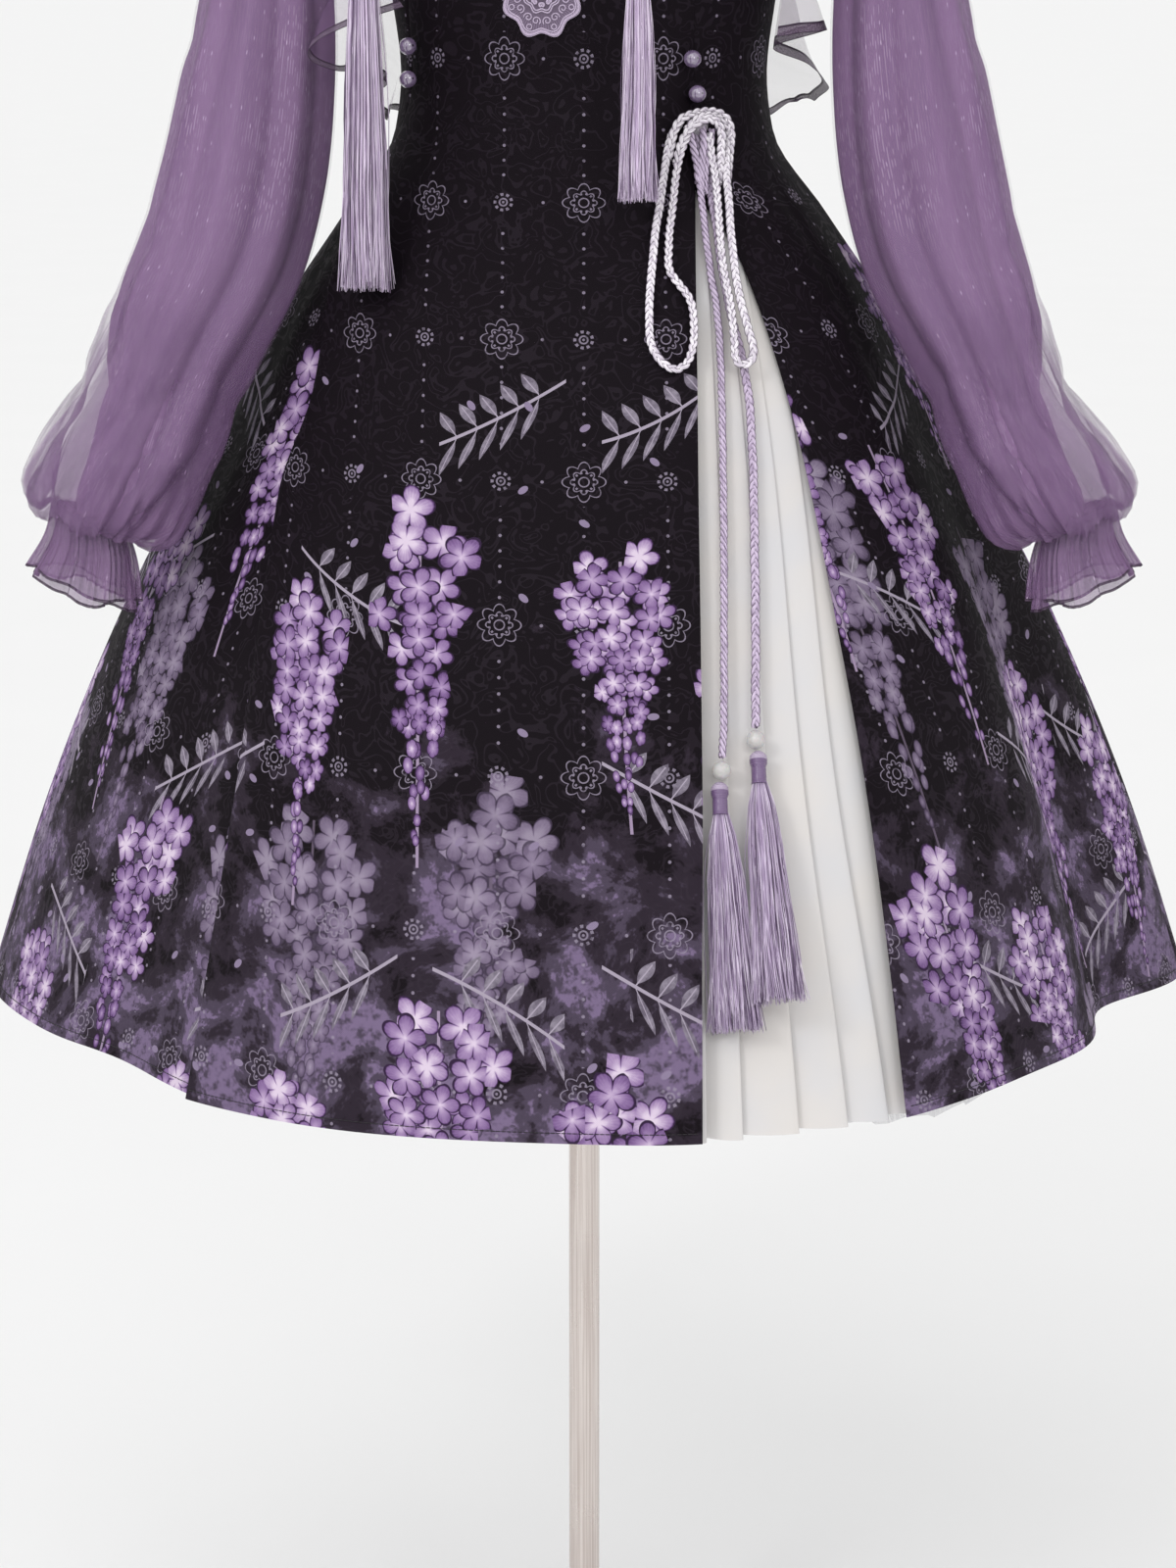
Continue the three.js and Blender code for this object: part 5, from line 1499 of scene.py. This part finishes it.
def lace():
    """Machine-embroidered ground: satin stitches side by side."""
    n = Nodes("Lace ground")
    (u, v), _ = n.cloth_map()
    far = (u * u + v * v).math("SQRT")
    turn = v.math("ARCTAN2", u)
    stitch = (turn * 90).sine() * 0.5 + 0.5
    colour = n.mix(stitch * far.step(8, 20), linear(88, 74, 94), linear(120, 104, 128))
    return n.shade(Base_Color=colour, Roughness=0.6, Normal=n.bump(stitch, 0.0002, 0.6))


def lace_cord():
    """Pale raised embroidery: twisted thread."""
    n = Nodes("Lace outline")
    _, turn, way = thread_map(n)
    twist = (turn * 2 + way / 0.9).off_middle() * 2
    colour = n.mix(twist, linear(214, 200, 220), linear(166, 148, 176))
    return n.shade(Base_Color=colour, Roughness=0.5, Normal=n.bump(twist, 0.0002, 0.6))


PEARL_HOLE = (BEAD_R * (1.5 * math.pi + 0.62), BEAD_R * 0.12)  # round and up from its middle


def pearl():
    """Pearl: soft lavender lustre under a clear coat, with faint cloudy bands, and its drilled hole
    painted as a near-black spot of shade."""
    n = Nodes("Pearl")
    (u, v), _ = n.cloth_map()
    across, up = u - PEARL_HOLE[0], v - PEARL_HOLE[1]
    hole = (across * across + up * up).under(0.42)
    cloud = n.noise(n.object_place(), 260.0, 2.0, 0.5, 1.0)
    colour = n.mix(cloud.step(0.3, 0.7), linear(108, 90, 121), linear(136, 118, 150))
    # painted shade: the drilled hole is a near-black spot on the colour, with no hollow in the ball
    colour = n.mix(hole, colour, linear(26, 18, 30))
    return n.shade(Base_Color=colour, Roughness=0.26, Coat_Weight=1.0, Coat_Roughness=0.04, Coat_IOR=2.2)


def milky_bead():
    """Milky stone bead, slightly see-through, with cloudy veins."""
    n = Nodes("Milky bead")
    cloud = n.noise(n.object_place(), 210.0, 3.0, 0.5, 1.5)
    colour = n.mix(cloud.step(0.35, 0.7), linear(208, 206, 205), linear(222, 221, 220))
    return n.shade(Base_Color=colour, Roughness=0.12, Transmission_Weight=0.35, Coat_Weight=0.5,
                   Coat_Roughness=0.04, Subsurface_Weight=0.2, Subsurface_Scale=0.003)


def jersey():
    """Knitted cover of the form: rows of small V stitches."""
    n = Nodes("Form jersey")
    (u, v), _ = n.cloth_map()
    wale = (u / 1.4).off_middle()
    loops = (v / 1.1 + wale).off_middle() * 2
    patches = n.noise(n.object_place(), 14.0, 3.0)
    colour = n.mix(loops * 0.4, linear(224, 216, 206), linear(200, 190, 178))
    colour = n.mix(patches.step(0.4, 0.7) * 0.3, colour, linear(212, 203, 192))
    return n.shade(Base_Color=colour, Roughness=0.9, Sheen_Weight=0.1, Normal=n.bump(loops, 0.0002, 0.5))


def brushed_steel():
    """Polished steel with fine lengthwise scratches and faint smears."""
    n = Nodes("Brushed steel")
    x, y, z = n.split(n.object_place())
    scratches = n.noise(n.point(x * 900, y * 900, z * 9), 1.0, 3.0)
    smears = n.noise(n.object_place(), 18.0, 4.0)
    colour = n.mix(scratches.step(0.3, 0.7), linear(196, 184, 178), linear(224, 216, 211))
    rough = smears.step(0.35, 0.75, 0.2, 0.36) + scratches * 0.06
    return n.shade(Base_Color=colour, Metallic=0.85, Roughness=rough,
                   Normal=n.bump(scratches, 0.00003, 0.3))


def cap_wood():
    """Varnished turned wood: growth rings stretched up the piece and fine pores."""
    n = Nodes("Varnished wood")
    x, y, z = n.split(n.object_place())
    warp = n.noise(n.object_place(), 12.0, 2.0)
    rings = ((x + warp * 0.012) * 260).sine() * 0.5 + 0.5
    pores = n.noise(n.point(x * 700, y * 700, z * 60), 1.0, 2.0)
    colour = n.mix(rings, linear(172, 130, 92), linear(196, 156, 116))
    colour = n.mix(pores.step(0.55, 0.7) * 0.5, colour, linear(120, 86, 58))
    return n.shade(Base_Color=colour, Roughness=0.38, Coat_Weight=0.4, Coat_Roughness=0.12,
                   Normal=n.bump(pores, 0.0001, 0.3))


def dark_thread():
    """Black sewing thread: fine twist."""
    n = Nodes("Dark thread")
    _, turn, way = thread_map(n)
    twist = (turn + way / 0.5).off_middle() * 2
    return n.shade(Base_Color=n.mix(twist, linear(30, 24, 32), linear(14, 11, 15)), Roughness=0.55)


# Each finish: its maker and what it is given.
FINISHES = {
    "printed_cotton": (printed_cotton, {}),
    "white_cotton": (white_cotton, {}),
    "white_net": (white_net, {}),
    "chiffon": (chiffon, {"name": "Chiffon", "alpha": 0.42}),
    "chiffon_sleeve": (chiffon, {
        "name": "Chiffon of the sleeves", "alpha": 0.04, "shimmer": 0.8, "gathered": 0.42,
        "top": (0.6, 112, 235),
    }),
    "chiffon_lining": (chiffon, {
        "name": "Chiffon of the linings", "alpha": 0.66, "shimmer": 1.2, "top": (-0.64, 0, 117),
    }),
    "chiffon_flounce": (chiffon, {"name": "Chiffon of the flounce", "alpha": 0.1, "hem": 6.0}),
    "chiffon_cuff": (chiffon, {
        "name": "Chiffon of the cuffs", "alpha": 0.4, "hem": 1.2, "shimmer": 1.2, "line_width": 0.4,
    }),
    "satin_thread": (satin_thread, {
        "name": "Satin thread", "dark": linear(154, 132, 166), "light": linear(232, 218, 238),
    }),
    # painted shade: the tails' tassels take a darker copy of the satin thread, for how the light falls on
    # them
    "satin_tail_shaded": (satin_thread, {
        "name": "Satin thread of the tails, painted darker as shade", "dark": linear(126, 104, 140), "light": linear(204, 188, 213),
    }),
    "satin_winding": (satin_winding, {}),
    "cord_white": (cord_silk, {
        "name": "White and lavender cord", "light": linear(240, 235, 241), "dark": linear(138, 116, 150),
    }),
    "cord_lavender": (cord_silk, {
        "name": "Lavender cord", "light": linear(206, 190, 214), "dark": linear(112, 88, 124),
    }),
    "lace": (lace, {}),
    "lace_cord": (lace_cord, {}),
    "dark_thread": (dark_thread, {}),
    "pearl": (pearl, {}),
    "milky_bead": (milky_bead, {}),
    "jersey": (jersey, {}),
    "steel": (brushed_steel, {}),
    "wood": (cap_wood, {}),
}
MADE = {}


def material(key):
    """Each finish is made once, when the first piece asks for it."""
    if key not in MADE:
        maker, given = FINISHES[key]
        MADE[key] = maker(**given)
    return MADE[key]


# -------- properties
class DressSetSettings(bpy.types.PropertyGroup):
    camera_lens: FloatProperty(
        name="Lens", description="Focal length of the camera", default=94.34, min=20, max=300,
        subtype="DISTANCE_CAMERA",
    )
    floor_size: FloatProperty(
        name="Floor", description="Width of the pale floor", default=2400, min=4, unit="LENGTH"
    )
    fringe_threads: IntProperty(
        name="Fringe threads", description="Threads in each tassel of the tied cord", default=560,
        min=20, max=900,
    )
    chest_threads: IntProperty(
        name="Chest threads", description="Threads in each tassel of the chest", default=800,
        min=20, max=1200,
    )
    sheer_pale: FloatVectorProperty(
        name="Pale chiffon", description="Colour of the bolero's cloth in its paler streaks",
        default=(0.276, 0.165, 0.314), min=0, max=1, subtype="COLOR",
    )
    sheer_deep: FloatVectorProperty(
        name="Deep chiffon", description="Colour of the bolero's cloth in its deeper streaks",
        default=(0.222, 0.13, 0.258), min=0, max=1, subtype="COLOR",
    )


# -------- operators
CAMERA = {"place": (0.0025, -2.6, 1.167), "downwards": 11.29, "sensor": 36}
SKY = 0.91
# Kind, place, size (an angle for the first), power.
LIGHTS = {
    "Window": ("SUN", (-0.8, -2.2, 3.0), math.radians(50), 0.62),
    "Key": ("AREA", (-1.3, -2.4, 2.1), 0.45, 14),
    "Fill": ("AREA", (1.0, -2.5, 2.0), 0.6, 7),
}
LIT = (0, 0, 0.95)  # where the lights aim


class DRESS_OT_stage(bpy.types.Operator):
    """Make the camera, the pale floor and the soft light."""

    bl_idname = "dress_set.stage"
    bl_label = "Stage"

    def execute(self, context):
        scene = context.scene
        camera = bpy.data.cameras.new("Camera")
        camera.lens = scene.dress_set.camera_lens
        camera.sensor_width = CAMERA["sensor"]
        stand = bpy.data.objects.new("Camera", camera)
        stand.location = CAMERA["place"]
        stand.rotation_euler = (math.radians(90 - CAMERA["downwards"]), 0, 0)
        scene.collection.objects.link(stand)
        scene.camera = stand
        half = scene.dress_set.floor_size / 2
        floor = bpy.data.meshes.new("floor")
        corners = [(-half, -half, 0), (half, -half, 0), (half, half, 0), (-half, half, 0)]
        floor.from_pydata(corners, [], [(0, 1, 2, 3)])
        n = Nodes("Pale floor")
        spots = n.mix(n.noise(n.object_place(), 3.0, 4.0), (0.86, 0.86, 0.86), (0.88, 0.88, 0.88))
        floor.materials.append(n.shade(Base_Color=spots, Roughness=0.9))
        ground = bpy.data.objects.new("floor", floor)
        scene.collection.objects.link(ground)
        world = bpy.data.worlds.new("Studio")
        scene.world = world
        world.use_nodes = True
        back = world.node_tree.nodes["Background"]
        back.inputs["Color"].default_value = (1, 1, 1, 1)
        back.inputs["Strength"].default_value = SKY
        for name, (kind, place, size, power) in LIGHTS.items():
            light = bpy.data.lights.new(name, kind)
            light.energy = power
            setattr(light, "angle" if kind == "SUN" else "size", size)
            lamp = bpy.data.objects.new(name, light)
            lamp.location = place
            aim = -lamp.location + type(lamp.location)(LIT)
            lamp.rotation_euler = aim.to_track_quat("-Z", "Y").to_euler()
            scene.collection.objects.link(lamp)
        scene.view_settings.view_transform = "Standard"
        scene.cycles.transparent_max_bounces = 40  # threads and sheer layers lie deep
        return {"FINISHED"}


# Radius of a tail's tassel at each share of its length.
TAIL_RADII = ((0, 4.4), (0.04, 6.2), (0.12, 8.4), (0.3, 10.8), (0.65, 13.4), (1, 15.6))


class DRESS_OT_tied_cord(bpy.types.Operator):
    """Make the braided cord tied in a bow, with the bead and tassel on each of its tails."""

    bl_idname = "dress_set.tied_cord"
    bl_label = "Tied Cord"

    def execute(self, context):
        settings = context.scene.dress_set
        core = on_front(KNOT["x"], KNOT["z"] - 4, KNOT["lift"] - 1)
        over = ball(core, 6.4, 4.6, 7.6, 36, 21)
        under = Sewing()
        for route, radius, on_top in KNOT_TURNS:
            path = curve_through(route_on_front(route), KNOT_STEP)
            braid(over if on_top else under, path, radius, 6 * radius, on_top)
        show("bow_knot", over, "cord_white")
        show("bow_knot_under", under, "cord_lavender", stands_in=False)
        for name in ("bow_loop_right", "bow_loop_left"):
            cord_piece(name, route_on_front(CORDS[name]), "cord_white", 15.5)
        for side, pitch, seed in (("right", 13, 7), ("left", 16, 11)):
            end = TAIL_ENDS[side]
            bead = bead_piece(f"tail_bead_{side}", on_front(end["bead_x"], end["bead"], 0.5), TAIL_BEAD_R,
                              "milky_bead")
            head = head_piece(f"tail_head_{side}", on_front(end["head_x"], end["head"], 0.5),
                              on_front(end["head_x"], end["neck"], 1.5))
            name = f"bow_tail_{side}"
            cord_piece(name, route_on_front(CORDS[name]), "cord_lavender", pitch, plait=side == "left")
            fringe(f"tail_fringe_{side}", on_front(end["head_x"], end["neck"] - GAP + 1.5, 2),
                   on_front(end["tip_x"], end["tip"], end["out"]), TAIL_RADII, 0.45,
                   settings.fringe_threads, seed, "satin_tail_shaded", 3)
        return {"FINISHED"}


class DRESS_OT_chest_tassels(bpy.types.Operator):
    """Make the pearl, short cord and tassel that hang on each side of the chest."""

    bl_idname = "dress_set.chest_tassels"
    bl_label = "Chest Tassels"

    def execute(self, context):
        settings = context.scene.dress_set
        for side, seed in (("right", 23), ("left", 29)):
            t = CHEST_TASSELS[side]
            button = on_front(*t["button"], t["under"] + BEAD_R + 1)
            bead_piece(f"chest_button_{side}", button, BEAD_R, "pearl")
            end = np.array([t["x"], t["y"], WAIST + CHEST_CORD_END])
            start = button + np.array([0, -0.5, -BEAD_R - CHEST_CORD_R - 0.2])
            middle = (start + end) / 2 - np.array([0, 0, 1])
            neck = np.array([t["x"], t["y"], WAIST + t["neck"]])
            head = head_piece(f"chest_head_{side}", end - np.array([0, 0, CHEST_CORD_R]), neck)
            cord_piece(f"chest_cord_{side}", [start, middle, end], "cord_lavender", 6, CHEST_CORD_R,
                       plait=False)
            r = t["radius"]
            radii = ((0, 4.4), (0.03, 6.4), (0.1, 0.56 * r), (0.3, 0.7 * r), (0.7, 0.88 * r), (1, r))
            fringe(f"chest_fringe_{side}", neck + np.array([0, 0, 1.0]),
                   (t["x"], t["tip_y"], WAIST + t["tip"]), radii, 1.0, settings.chest_threads, seed,
                   "satin_thread", 7)
        return {"FINISHED"}


class DRESS_OT_form(bpy.types.Operator):
    """Make the dress form and its stand."""

    bl_idname = "dress_set.form"
    bl_label = "Form and Stand"

    def execute(self, context):
        angle = np.linspace(-180, 180, TORSO_COLUMNS)[None]
        z = np.linspace(FORM["z"][0], FORM["z"][-1], TORSO_ROWS)[:, None]
        body = worn(FORM, angle, z)
        shrink = np.array([0.0, 0.35, 0.7, 0.9])[:, None, None]
        low, high = (rows * np.concatenate([shrink, shrink, shrink**0], -1) for rows in (body[:1], body[-1:]))
        points = np.concatenate([low, body, high[::-1]])
        sewing = Sewing().add(points, uv=flat_map(points, np.arange(len(points)), TORSO_COLUMNS - 1))
        show("form_torso", sewing, "jersey", 40)
        for name, profile in STAND.items():
            finish, slot = ("wood", "cap_wood") if name == "neck_cap" else ("steel", "steel")
            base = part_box(name)[0].z / MM
            show(name, lathe([(r, base + up) for r, up in profile]), finish, 35)
        return {"FINISHED"}


# Radii and heights of the turned stand pieces above each one's own underside.
STAND = {
    "base_plate": ((0, 0), (172, 0), (174.4, 0.6), (175, 2), (175, 5.4), (174, 6.7), (172, 7.1), (60, 12.4),
                   (52.5, 13), (0, 13)),
    "base_collar": ((0, 0), (23.4, 0), (24, 0.8), (23.6, 4), (20.6, 31), (20, 33), (19.2, 33.6), (0, 33.6)),
    "pole": ((0, 0), (10, 0), (10, 799.8), (0, 799.8)),
    "form_flange": ((0, 0), (25.4, 0), (26, 0.6), (41.4, 10.4), (42, 11.2), (41.6, 12), (0, 12)),
    "neck_cap": ((0, 0), (44.4, 0), (46.4, 1.2), (47, 3.2), (46.8, 6), (45, 9.4), (42, 11.6),
                 (30, 13.6), (16, 14.6), (12, 16), (9.8, 19), (9.2, 22), (10.6, 26), (13.2, 30.5),
                 (14, 34), (13.2, 38), (10.6, 42), (7, 44.6), (3, 45.8), (0, 46)),
}


def lathe(profile, columns=96):
    """A turned piece about the pole's line, from (radius, height) rows."""
    r, z = np.array(profile, float).T
    turn = np.linspace(0, 2 * np.pi, columns + 1)
    points = np.stack([r[:, None] * np.cos(turn), r[:, None] * np.sin(turn), z[:, None] + 0 * turn], -1)
    return Sewing().add(points, uv=flat_map(points, np.arange(len(points)), 0))


class DRESS_OT_dress(bpy.types.Operator):
    """Make the printed panels of the dress, the pleated insert and the net petticoat."""

    bl_idname = "dress_set.dress"
    bl_label = "Dress"

    def execute(self, context):
        panels = [("front_panel", front_panel_parts())]
        for side in ("right", "left"):
            panels.append((f"side_panel_{side}", side_panel_parts(side)))
            panels.append((f"back_panel_{side}", back_panel_parts(side)))
        for name, parts in panels:
            cloth_piece(name, parts, DRESS_WALL, "printed_cotton")
        cloth_piece("pleated_insert", insert_parts(), INSERT_WALL, "white_cotton")
        cloth_piece("petticoat", petticoat_parts(), NET_WALL, "white_net")
        return {"FINISHED"}


def medallion_edge(turn, share):
    """The lobed outline, notched at the bottom: share * radius * (1 - lobe - lobe cos(lobes t))."""
    m = MEDALLION
    r = share * m["radius"] * (1 - m["lobe"] - m["lobe"] * np.cos(m["lobes"] * turn))
    return r * np.cos(turn), m["tall"] * r * np.sin(turn)


def on_medallion(x, z, lift):
    return on_front(MEDALLION["x"] + x, MEDALLION["z"] + z, lift + 0 * x)


def lace_outlines():
    """Raised cords: three lobed rings, a pair of scrolls in each lobe and a small ring at its tip.
    A scroll is a spiral whose radius falls from 2.6 mm over one turn and a quarter."""
    lobes = MEDALLION["lobes"]
    t = np.linspace(0, 2 * np.pi, 161)
    rings = [on_medallion(*medallion_edge(t, share), 1.7) for share in (0.985, 0.9, 0.46, 0.4, 0.12)]
    turn = np.linspace(0, 2.5 * np.pi, 41)
    scrolls = []
    for k in range(lobes):
        way = 2 * np.pi * (k + 0.5) / lobes
        for side in (-1, 1):
            for start, size in ((0.66, 2.7), (0.3, 1.7)):
                a = way + side * (0.17 if start > 0.5 else 0.3)
                cx, cz = medallion_edge(np.array(a), start)
                r = size * (1 - 0.75 * turn / turn[-1])
                spin = way + side * (turn + 1.2)
                scrolls.append(on_medallion(cx + r * np.cos(spin), cz + r * np.sin(spin), 1.7))
        cx, cz = medallion_edge(np.array(way), 0.8)
        ring_turn = np.linspace(0, 2 * np.pi, 41)
        scrolls.append(on_medallion(cx + 1.5 * np.cos(ring_turn), cz + 1.5 * np.sin(ring_turn), 1.7))
    edge = np.linspace(0, 2 * np.pi, 360, endpoint=False)
    inner, outer = (
        on_medallion(*medallion_edge(edge, share), lift) for share, lift in ((0.93, 1.75), (1.03, 1.2))
    )
    satin = inner[:, None] + (outer - inner)[:, None] * np.linspace(0, 1, 4)[None, :, None]
    return rings, scrolls, satin


def stitches(name, lines, pitch, radius):
    """A row of stitches along each line: short threads that dip into the cloth at both ends."""
    threads = []
    for line, out in lines:
        way = way_along(line)
        starts = np.arange(pitch, way[-1] - pitch, pitch)
        at = starts[:, None] + pitch * np.array([0, 0.12, 0.4, 0.68, 0.8])
        centre = np.stack([np.interp(at, way, line[:, k]) for k in range(3)], -1)
        away = np.stack([np.interp(at, way, out[:, k]) for k in range(3)], -1)
        threads.append(centre + away * np.array([-0.25, 0.12, 0.2, 0.12, -0.25])[None, :, None])
    sewing = Sewing()
    tubes(sewing, np.concatenate(threads), radius, STITCH_SIDES)
    show(name, sewing, "dark_thread", stands_in=False)


def hem_line(first, last, lift=level, rise=hem_rise):
    """A line along a hem between two edges, 5.5 mm above it and just over the cloth."""
    z = np.full(400, HEM + 5.5)
    angle = first(z[:1]) + (last(z[:1]) - first(z[:1])) * np.linspace(0, 1, len(z))
    return on_cloth(angle, z + rise(angle, z), lift(z) + 0.15)


class DRESS_OT_trims(bpy.types.Operator):
    """Make the lace medallion, the pearl buttons and the stitches of the hems."""

    bl_idname = "dress_set.trims"
    bl_label = "Medallion, Pearls and Stitches"

    def execute(self, context):
        t = np.linspace(0, 2 * np.pi, 161)[None]
        share = np.linspace(1, 0, 22)[:, None]
        x, z = medallion_edge(t, share)
        height = MEDALLION["z"] + z
        points, out = on_cloth(angle_at(MEDALLION["x"] + x, height), height, 1.4 + 0 * x)
        points[:, -1] = points[:, 0]
        cloth_piece("medallion", [(points, out, np.stack([x, z], -1))], LACE_WALL, "lace")
        rings, scrolls, satin = lace_outlines()
        sewing = Sewing()
        for group, radius in ((np.array(rings), 0.42), (np.array(scrolls), 0.36), (satin, 0.22)):
            tubes(sewing, group, radius, LACE_SIDES)
        show("medallion_outlines", sewing, "lace_cord", stands_in=False)
        for i, (x, z) in enumerate(BUTTONS):
            bead_piece(f"bead_button_{i + 1}", on_front(x, z, BEAD_R + 1.6), BEAD_R, "pearl")
        lines = [
            hem_line(right_edge, left_edge, flap_lift, level),
            hem_line(lambda z: -side_front(z), underlap_edge),
            hem_line(slit_edge, side_front),
            hem_line(side_back, back_neck),
            hem_line(lambda z: -back_neck(z), lambda z: -side_back(z)),
        ]
        stitches("hem_stitches", lines, 3.1, 0.26)
        return {"FINISHED"}


class DRESS_OT_bolero(bpy.types.Operator):
    """Make the sheer bolero: its body, flounce, full sleeves, linings and cuffs."""

    bl_idname = "dress_set.bolero"
    bl_label = "Bolero"

    def execute(self, context):
        cloth_piece("bolero_back", bolero_back_parts(), SHEER_WALL, "chiffon")
        cloth_piece("bolero_flounce", flounce_parts(), SHEER_WALL, "chiffon_flounce")
        for side in ("left", "right"):
            for name, parts, finish, held in (
                ("bolero_front", bolero_front_parts(), "chiffon", "hung"),
                ("sleeve", sleeve_parts(side), "chiffon_sleeve", "gathered"),
                ("sleeve_lining", lining_parts(side), "chiffon_lining", "gathered"),
                ("cuff", cuff_parts(), "chiffon_cuff", "gathered"),
            ):
                cloth_piece(f"{name}_{side}", parts, SHEER_WALL, finish,
                            mirror=side == "right")
        return {"FINISHED"}


class DRESS_PT_panel(bpy.types.Panel):
    """Lists the sizes and the pieces of the dress set."""

    bl_label = "Dress Set"
    bl_idname = "DRESS_PT_panel"
    bl_space_type = "VIEW_3D"
    bl_region_type = "UI"
    bl_category = "Dress Set"

    def draw(self, context):
        settings = context.scene.dress_set
        column_of_sizes = self.layout.column(align=True)
        for key in DressSetSettings.__annotations__:
            column_of_sizes.prop(settings, key)
        buttons = self.layout.column(align=True)
        for operator in OPERATORS:
            buttons.operator(operator.bl_idname)


OPERATORS = (
    DRESS_OT_stage,
    DRESS_OT_tied_cord,
    DRESS_OT_chest_tassels,
    DRESS_OT_form,
    DRESS_OT_dress,
    DRESS_OT_trims,
    DRESS_OT_bolero,
)
CLASSES = (DressSetSettings, *OPERATORS, DRESS_PT_panel)


def register():
    for cls in CLASSES:
        bpy.utils.register_class(cls)
    bpy.types.Scene.dress_set = PointerProperty(type=DressSetSettings)


def unregister():
    del bpy.types.Scene.dress_set
    for cls in reversed(CLASSES):
        bpy.utils.unregister_class(cls)


def main():
    register()
    for operator in OPERATORS:
        group, name = operator.bl_idname.split(".")
        getattr(getattr(bpy.ops, group), name)()


if __name__ == "__main__":
    main()
